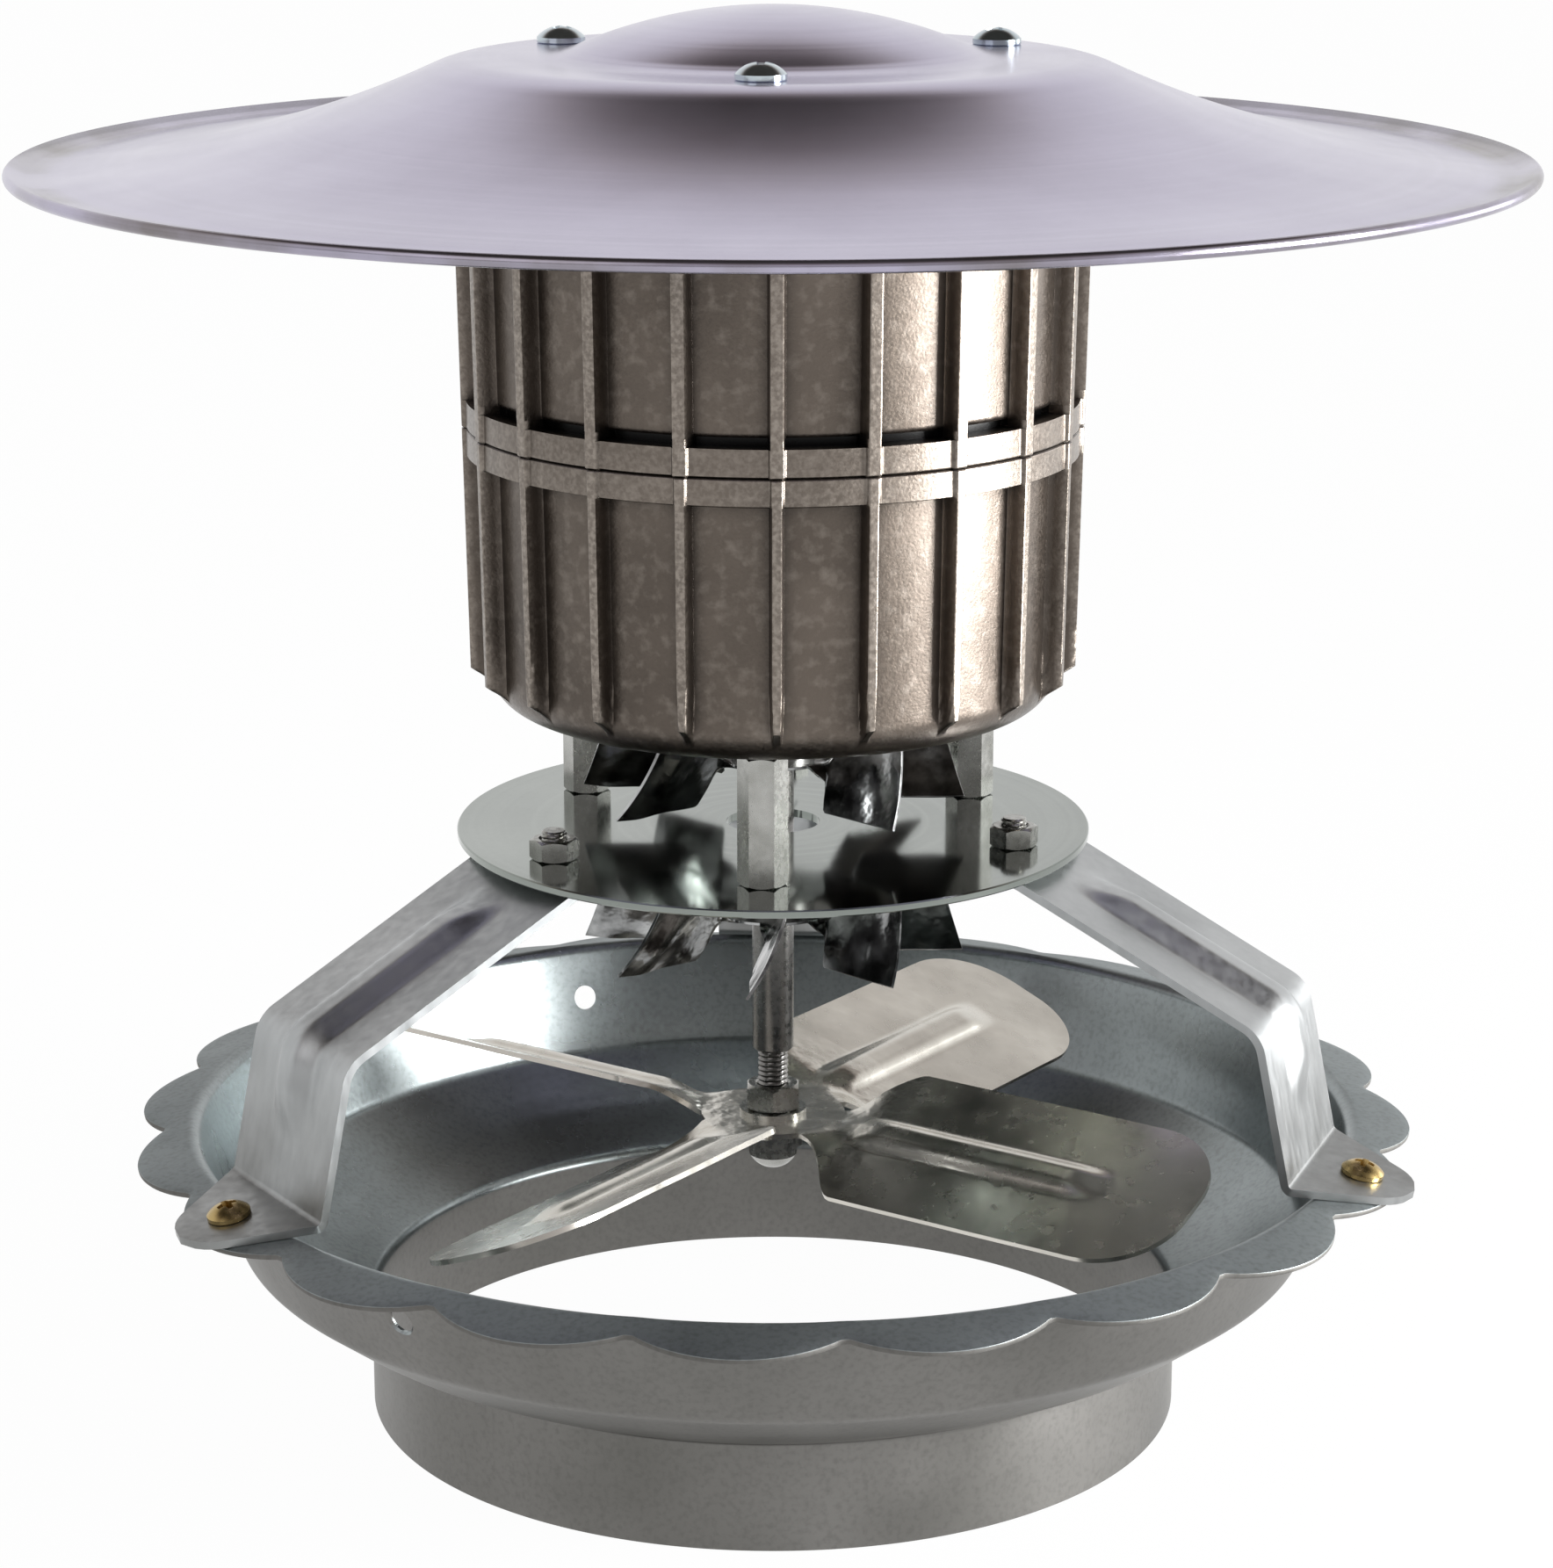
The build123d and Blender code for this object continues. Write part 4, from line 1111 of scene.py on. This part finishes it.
def bowl_metal(name, inside, shaded_outside, rough, duller_outside, duller_flange):
    """Zinc-coated bowl, smoother on its upper faces and duller below; downward faces are painted darker and
    warmer as shade, upper faces lighter and bluish as lit.
    """
    material, tree, shader = new_material(name, 1.0, rough[0])
    normal = add(tree, "SeparateXYZ")
    tree.links.new(add(tree, "NewGeometry").outputs["Normal"], normal.inputs[0])
    # Painted shade: faces that turn downwards take the darker, warmer tones, upper faces the lighter, bluish
    # ones
    below = spread(tree, normal.outputs["Z"], 1.0, 0.0, start=0.1, stop=0.3)
    clouds = noise(tree, scale=24, detail=7.0)
    tone = blended(tree, below, shades(tree, clouds, *inside), shades(tree, clouds, *shaded_outside))
    tone = blended(tree, specks(tree, 0.3), tone, scaled(shaded_outside[0], 0.6))
    lip_r = BOWL_LIP[0]
    flange = spread(tree, axis_radius(tree)[0], 0.0, 1.0, start=(lip_r - 0.5) * MM, stop=(lip_r + 1.5) * MM)
    level = spread(tree, noise(tree, scale=45, detail=4.0), *rough)
    for where, more in ((below, duller_outside), (flange, duller_flange)):
        level = math_node(tree, "ADD", level, product(tree, where, more))
    dress(tree, shader, tone, level)
    bump(tree, shader, turned_lines(tree, 500), 0.004)
    return material


def leg_metal(name, dark, light, shin_tone, rough):
    """Zinc-coated sheet, darker in patches down the shins."""
    material, tree, shader = new_material(name, 1.0, rough[0])
    tone = shades(tree, noise(tree, scale=40, detail=7.0), dark, light)
    patch = spread(tree, noise(tree, scale=60, detail=6.0), 0.55, 1.0, start=0.35, stop=0.65)
    height = axis_radius(tree)[1]
    # Darker towards the bottom of the legs, in patches
    low = spread(tree, height, 0.8, 0.0, start=SHIN_DARKENING[0] * MM, stop=SHIN_DARKENING[1] * MM)
    tone = blended(tree, product(tree, low, patch), tone, shin_tone)
    fine = noise(tree, scale=500, detail=4.0, stretch=(1, 1, 0.25))
    dress(tree, shader, tone, spread(tree, fine, *rough))
    bump(tree, shader, fine, 0.012)
    return material


def mottled_sheet(name, dark, light, rough, cloud, wave_depth, hub_waves=1.0):
    """Bright pressed sheet mottled darker in clouds, with a wavy face, wavier round the hub."""
    material, tree, shader = new_material(name, 1.0, rough[0])
    tone = shades(tree, noise(tree, cloud, detail=8.0), dark, light, start=0.36, stop=0.62)
    dress(tree, shader, tone, spread(tree, noise(tree, scale=220, detail=4.0), *rough))
    hub = spread(tree, axis_radius(tree)[0], hub_waves, 1.0, start=HUB_WAVES[0] * MM, stop=HUB_WAVES[1] * MM)
    bump(tree, shader, product(tree, noise(tree, scale=140, detail=3.0), hub), wave_depth)
    return material


def cast_metal(name, slot_shade, panel, crest, rough):
    """Cast metal: stained panels, rib crests painted brighter as a highlight and as wear, painted shade in
    corners and recesses, and painted shade inside the vent slots.
    """
    material, tree, shader = new_material(name, 1.0, rough[0])
    shader.inputs["Coat Weight"].default_value = 0.35
    shader.inputs["Coat Roughness"].default_value = 0.3
    radius, z = axis_radius(tree)
    up = math_node(tree, "SUBTRACT", z, MOTOR_SPLIT * MM)
    taper = product(tree, up, -math.tan(math.radians(HOUSING_TAPER)))
    reach = math_node(tree, "ADD", radius, taper)
    tone = shades(tree, noise(tree, scale=30, detail=8.0), *panel, start=0.32, stop=0.68)
    # Painted highlight and wear: rib crests brighter, in specks
    crest_sheen_and_wear = spread(tree, reach, 0.0, 0.8, start=(HOUSING_R - CREST_SHEEN_H) * MM, stop=HOUSING_R * MM)
    speck = spread(tree, noise(tree, scale=1100, detail=2.0), 0.35, 1.0, start=0.4, stop=0.65)
    tone = blended(tree, product(tree, crest_sheen_and_wear, speck), tone, crest)
    grit = spread(tree, noise(tree, scale=420, detail=6.0), 0.0, 0.3, start=0.5, stop=0.75)
    tone = blended(tree, grit, tone, crest)
    # Painted shade: corners and recesses, such as the feet of the ribs, darkened by ambient occlusion
    corner = add(tree, "AmbientOcclusion", samples=6)
    corner.inputs["Distance"].default_value = RIB_H * MM
    unshaded_share = spread(tree, corner.outputs["AO"], 0.0, 1.0, start=0.35, stop=0.9)
    tone = blended(tree, unshaded_share, scaled(panel[0], 0.4), tone)
    # Painted shade: near black on the floor of each vent slot
    slot_z = MOTOR_SPLIT + BAND_H + SLOT_H / 2
    at_slot = math_node(tree, "COMPARE", z, slot_z * MM, SLOT_H / 2 * MM)
    sunk = math_node(tree, "LESS_THAN", reach, (HOUSING_R - RIB_H - SLOT_EDGE - SINK) * MM)
    tone = blended(tree, product(tree, at_slot, sunk), tone, slot_shade)
    fine = noise(tree, scale=1700, detail=3.0)
    dress(tree, shader, tone, spread(tree, fine, *rough))
    bump(tree, shader, fine, 0.05)
    return material


def rubber(name, dark, light):
    material, tree, shader = new_material(name, 0.0, 0.6)
    fine = noise(tree, scale=400, detail=3.0)
    tree.links.new(shades(tree, fine, dark, light), shader.inputs["Base Color"])
    bump(tree, shader, fine, 0.03)
    return material


# A finish for each slot of the record
FINISHES = {
    "bowl_sheet": (bowl_metal, dict(
        # Upper faces: lighter, bluish tones painted as lit; downward faces: darker, warmer tones painted as
        # shade
        inside=((0.232, 0.26, 0.264), (0.325, 0.358, 0.364)),
        shaded_outside=((0.145, 0.142, 0.133), (0.205, 0.2, 0.19)),
        rough=(0.24, 0.33), duller_outside=0.14, duller_flange=0.26,
    )),
    "leg_sheet": (leg_metal, dict(
        dark=(0.36, 0.375, 0.38), light=(0.5, 0.515, 0.52), shin_tone=(0.17, 0.17, 0.163), rough=(0.3, 0.44),
    )),
    "cap_sheet": (spun_sheet, dict(
        dark=(0.425, 0.4, 0.515), light=(0.5, 0.475, 0.6), rough=(0.19, 0.25),
        # The last colour is painted shade and dark reflection for the dished rim
        lines=400, depth=0.002, grain=0.05, rim_shade=(0.2, 0.18, 0.18),
    )),
    "plate_sheet": (spun_sheet, dict(
        dark=(0.2, 0.222, 0.206), light=(0.31, 0.335, 0.312), rough=(0.08, 0.14),
        lines=600, depth=0.001, grain=0.08,
    )),
    "impeller_sheet": (mottled_sheet, dict(
        dark=(0.56, 0.54, 0.49), light=(0.66, 0.637, 0.58), rough=(0.2, 0.3),
        cloud=40, wave_depth=0.04, hub_waves=14.0,
    )),
    "fan_sheet": (mottled_sheet, dict(
        dark=(0.06, 0.06, 0.06), light=(0.5, 0.51, 0.51), rough=(0.1, 0.2), cloud=110, wave_depth=0.3,
    )),
    "cast_aluminium": (cast_metal, dict(
        # The near-black colour is painted shade for the floors of the vent slots
        slot_shade=(0.004, 0.004, 0.004), panel=((0.077, 0.062, 0.05), (0.147, 0.121, 0.1)),
        crest=(0.34, 0.3, 0.26), rough=(0.3, 0.46),
    )),
    "yellow_zinc": (metal, dict(
        dark=(0.35, 0.24, 0.07), light=(0.5, 0.38, 0.18), rough=(0.22, 0.35), grain=800, depth=0.01,
    )),
    "zinc_hardware": (metal, dict(
        dark=(0.26, 0.26, 0.24), light=(0.44, 0.44, 0.42), rough=(0.2, 0.34),
        grain=800, depth=0.01, cloud=120,
    )),
    "bright_screws": (metal, dict(
        dark=(0.45, 0.52, 0.56), light=(0.6, 0.66, 0.7), rough=(0.12, 0.2), grain=800, depth=0.005,
    )),
    "core_iron": (metal, dict(
        dark=(0.1, 0.1, 0.11), light=(0.16, 0.16, 0.17), rough=(0.45, 0.6), grain=600, depth=0.02,
    )),
    "winding_copper": (metal, dict(
        dark=(0.5, 0.2, 0.08), light=(0.65, 0.3, 0.14), rough=(0.3, 0.4), grain=600, depth=0.05,
    )),
    "bearing_steel": (metal, dict(
        dark=(0.4, 0.4, 0.4), light=(0.5, 0.5, 0.5), rough=(0.15, 0.22), grain=600, depth=0.005,
    )),
    "shaft_steel": (metal, dict(
        dark=(0.13, 0.127, 0.12), light=(0.26, 0.255, 0.245), rough=(0.22, 0.36),
        grain=800, depth=0.008, cloud=90,
    )),
    "bush_steel": (metal, dict(
        dark=(0.2, 0.2, 0.19), light=(0.3, 0.3, 0.29), rough=(0.25, 0.35), grain=800, depth=0.01,
    )),
    "rubber": (rubber, dict(dark=(0.012, 0.012, 0.012), light=(0.03, 0.03, 0.03))),
}
MATERIALS = {slot: make(slot, **values) for slot, (make, values) in FINISHES.items()}


def dress_nodes():
    """Every CAD node that stays in sight gets its slot's material."""
    for row in frame["record"]["subparts"]:
        materials = frame["nodes"][row["node"]].data.materials
        materials.clear()
        materials.append(MATERIALS[row["material_slot"]])


# Pieces

def base_pieces():
    legs = LEG_AZIMUTHS.values()
    add_piece("bowl_shell", base_bowl(), "stand", "bowl_sheet", "base_bowl")
    one_leg = leg()
    for node, azimuth in LEG_AZIMUTHS.items():
        add_piece(node + "_sheet", moved(one_leg, turn(azimuth)), "stand", "leg_sheet", node, edge=EDGE_ROUND)
    nut_top = -BOWL_SHEET - FOOT_NUT_PLAY
    nut_low = nut_top - M4_NUT_H
    head = moved(pan_head(M4_HEAD_R, M4_HEAD_H, FOOT_RECESS), Matrix.Translation((0, 0, LEG_SHEET)))
    screw = united(head, threaded(M4_R, nut_low - SCREW_TAIL, LEG_SHEET + INTO_HEAD, M4_PITCH))
    screws = joined(*[moved(screw, foot_place(azimuth)) for azimuth in legs])
    add_piece("foot_screw_set", screws, "stand", "yellow_zinc", "foot_screws")
    nut = hex_bar(M4_NUT_AF, nut_low, nut_top, M4_R)
    nuts = joined(*[moved(nut, foot_place(azimuth)) for azimuth in legs])
    add_piece("foot_nut_set", nuts, "stand", "zinc_hardware", "foot_nuts", sharp=HEX_SHARP)


def plate_pieces():
    legs = LEG_AZIMUTHS.values()
    add_piece("heat_disc", heat_plate(), "stand", "plate_sheet", "heat_plate")
    tab_z = PLATE_TOP - PLATE_SHEET - LEG_SHEET
    nut_top = PLATE_TOP + M5_NUT_H
    head = hex_bar(M5_NUT_AF, tab_z - M5_HEAD_H, tab_z)
    bolt = united(head, threaded(M5_R, tab_z - INTO_BOLT_HEAD, nut_top + SCREW_TAIL, M5_PITCH))
    bolts = ringed(bolt, LEG_BOLT_PCR, legs)
    add_piece("leg_bolt_set", bolts, "stand", "zinc_hardware", "leg_bolts", sharp=HEX_SHARP)
    nuts = ringed(hex_bar(M5_NUT_AF, PLATE_TOP, nut_top, M5_R), LEG_BOLT_PCR, legs)
    add_piece("leg_nut_set", nuts, "stand", "zinc_hardware", "leg_nuts", sharp=HEX_SHARP)
    posts = ringed(hex_bar(STANDOFF_AF, PLATE_TOP, MOTOR_BOTTOM), STANDOFF_PCR, SCREW_AZIMUTHS)
    add_piece("standoff_posts", posts, "stand", "zinc_hardware", "standoffs", sharp=HEX_SHARP)


def motor_pieces():
    add_piece("lower_casing", lower_housing(), "stand", "cast_aluminium", "lower_housing", sharp=CAST_SHARP)
    add_piece("upper_casing", upper_housing(), "stand", "cast_aluminium", "upper_housing", sharp=CAST_SHARP)
    add_piece("cap_shell", rain_cap(), "stand", "cap_sheet", "rain_cap", sharp=CAP_SHARP)
    head = pan_head(CAP_SCREW_HEAD_R, CAP_SCREW_HEAD_H, CAP_RECESS)
    screw = united(head, lathe(rod(M4_R, -CAP_SCREW_GRIP, INTO_HEAD), ROD_STEPS))
    screws = ringed(moved(screw, Matrix.Translation((0, 0, CAP_SHOULDER_Z))), CAP_SCREW_PCR, SCREW_AZIMUTHS)
    add_piece("cap_screw_set", screws, "stand", "bright_screws", "cap_screws")


def rotor_pieces():
    add_piece("shaft_rod", motor_shaft(), "rotor", "shaft_steel", "motor_shaft")
    add_piece("impeller_sheet_detail", impeller(), "rotor", "impeller_sheet", "impeller", edge=EDGE_ROUND)
    for side, fan_z in (("upper", UPPER_FAN_Z), ("lower", LOWER_FAN_Z)):
        fan = cooling_fan(fan_z)
        add_piece(side + "_fan_sheet", fan, "rotor", "fan_sheet", side + "_cooling_fan", edge=FAN_EDGE_ROUND)
    nut_z = IMPELLER_Z + IMPELLER_SHEET + WASHER_T
    nut = hex_bar(M6_NUT_AF, nut_z, nut_z + M6_NUT_H, THREAD_R)
    add_piece("impeller_lock_nut", nut, "rotor", "zinc_hardware", "impeller_nut", sharp=HEX_SHARP)


# Stage, in metres

FLOOR_SIZE = 14.0
FLOOR_GREY = (0.8, 0.8, 0.8, 1)
FLOOR_WHITE = 0.975    # how much of the floor is plain white to the camera; the rest shows the shadow
AMBIENT = (0.55, 0.55, 0.55, 1)
# Colours of the studio by height, 0 at the horizon and 1 overhead, and those on the camera's side
SKY = (
    (0.0, (1.0, 1.0, 1.0)), (0.46, (0.98, 0.97, 0.97)), (0.58, (0.86, 0.84, 0.83)),
    (0.655, (0.5, 0.45, 0.42)), (0.72, (0.13, 0.105, 0.095)), (0.8, (0.05, 0.045, 0.04)),
    (1.0, (0.05, 0.045, 0.04)),
)
SKY_AHEAD = (
    (0.0, (0.3, 0.29, 0.28)), (0.22, (0.6, 0.57, 0.58)), (0.36, (0.62, 0.59, 0.6)), (0.52, (0.44, 0.4, 0.4)),
    (0.66, (0.3, 0.265, 0.255)), (0.76, (0.15, 0.125, 0.115)), (0.84, (0.07, 0.06, 0.055)),
    (1.0, (0.05, 0.045, 0.04)),
)


def show_background(tree):
    """1 for rays that see the background: from the camera, or by reflection or through glass."""
    path = add(tree, "LightPath")
    seen = path.outputs["Is Camera Ray"]
    for ray in ("Is Glossy Ray", "Is Transmission Ray"):
        seen = math_node(tree, "MAXIMUM", seen, path.outputs[ray])
    return seen


def bare_tree(owner):
    owner.use_nodes = True
    owner.node_tree.nodes.clear()
    return owner.node_tree


def by_ray(tree, share, lit, seen, output):
    """Lights the object by one shader and shows another, by a share, to rays that see the background."""
    blend = add(tree, "MixShader")
    tree.links.new(share, blend.inputs["Fac"])
    tree.links.new(lit.outputs[0], blend.inputs[1])
    tree.links.new(seen.outputs[0], blend.inputs[2])
    tree.links.new(blend.outputs[0], add(tree, output).inputs["Surface"])


def floor():
    bpy.ops.mesh.primitive_plane_add(size=FLOOR_SIZE, location=(0, 0, 0))
    plane = bpy.context.active_object
    plane.name = "floor"
    material = bpy.data.materials.new("floor")
    tree = bare_tree(material)
    grey = add(tree, "BsdfDiffuse")
    grey.inputs["Color"].default_value = FLOOR_GREY
    white = add(tree, "Emission")
    white.inputs["Color"].default_value = (1, 1, 1, 1)
    by_ray(tree, product(tree, show_background(tree), FLOOR_WHITE), grey, white, "OutputMaterial")
    plane.data.materials.append(material)


def world():
    """White round the horizon, dark overhead and dimmer behind the camera, as in a small studio."""
    scene_world = bpy.data.worlds.new("studio")
    bpy.context.scene.world = scene_world
    tree = bare_tree(scene_world)
    parts = add(tree, "SeparateXYZ")
    tree.links.new(add(tree, "TexCoord").outputs["Generated"], parts.inputs[0])
    behind = spread(tree, parts.outputs["Y"], 0.0, 1.0, start=-0.5, stop=-0.05)
    sky, ahead = (ramp(tree, parts.outputs["Z"], stops) for stops in (SKY, SKY_AHEAD))
    seen = add(tree, "Background")
    tree.links.new(blended(tree, behind, ahead, sky), seen.inputs["Color"])
    ambient = add(tree, "Background")
    ambient.inputs["Color"].default_value = AMBIENT
    by_ray(tree, show_background(tree), ambient, seen, "OutputWorld")


def soft_light(name, place, aim, width, height, power):
    light = bpy.data.lights.new(name, "AREA")
    light.shape = "RECTANGLE"
    light.size = width
    light.size_y = height
    light.energy = power
    obj = bpy.data.objects.new(name, light)
    obj.location = place
    obj.rotation_euler = (Vector(aim) - Vector(place)).to_track_quat("-Z", "Y").to_euler()
    obj.visible_camera = False
    bpy.context.collection.objects.link(obj)


def camera():
    data = bpy.data.cameras.new("camera")
    data.sensor_width = SENSOR
    data.lens = FOCAL_PX / max(PHOTO_W, PHOTO_H) * SENSOR
    data.shift_x = (PHOTO_W / 2 - AXIS_PX) / max(PHOTO_W, PHOTO_H)
    data.clip_start = 0.01
    obj = bpy.data.objects.new("camera", data)
    obj.location = (0, CAMERA_Y * MM, CAMERA_Z * MM)
    obj.rotation_euler = (math.radians(90 - CAMERA_PITCH), 0, 0)
    bpy.context.collection.objects.link(obj)
    bpy.context.scene.camera = obj


dress_nodes()
base_pieces()
plate_pieces()
motor_pieces()
rotor_pieces()
floor()
world()
soft_light("key", place=(0.72, -0.2, 0.2), aim=(0, 0, 0.18), width=0.34, height=0.4, power=15)
soft_light("side", place=(0.8, 0.42, 0.22), aim=(0, 0, 0.06), width=0.3, height=0.3, power=0.9)
soft_light("fill", place=(-0.7, -0.9, 0.7), aim=(0, 0, 0.12), width=0.8, height=0.8, power=1.5)
camera()
bpy.context.scene.view_settings.view_transform = "Standard"
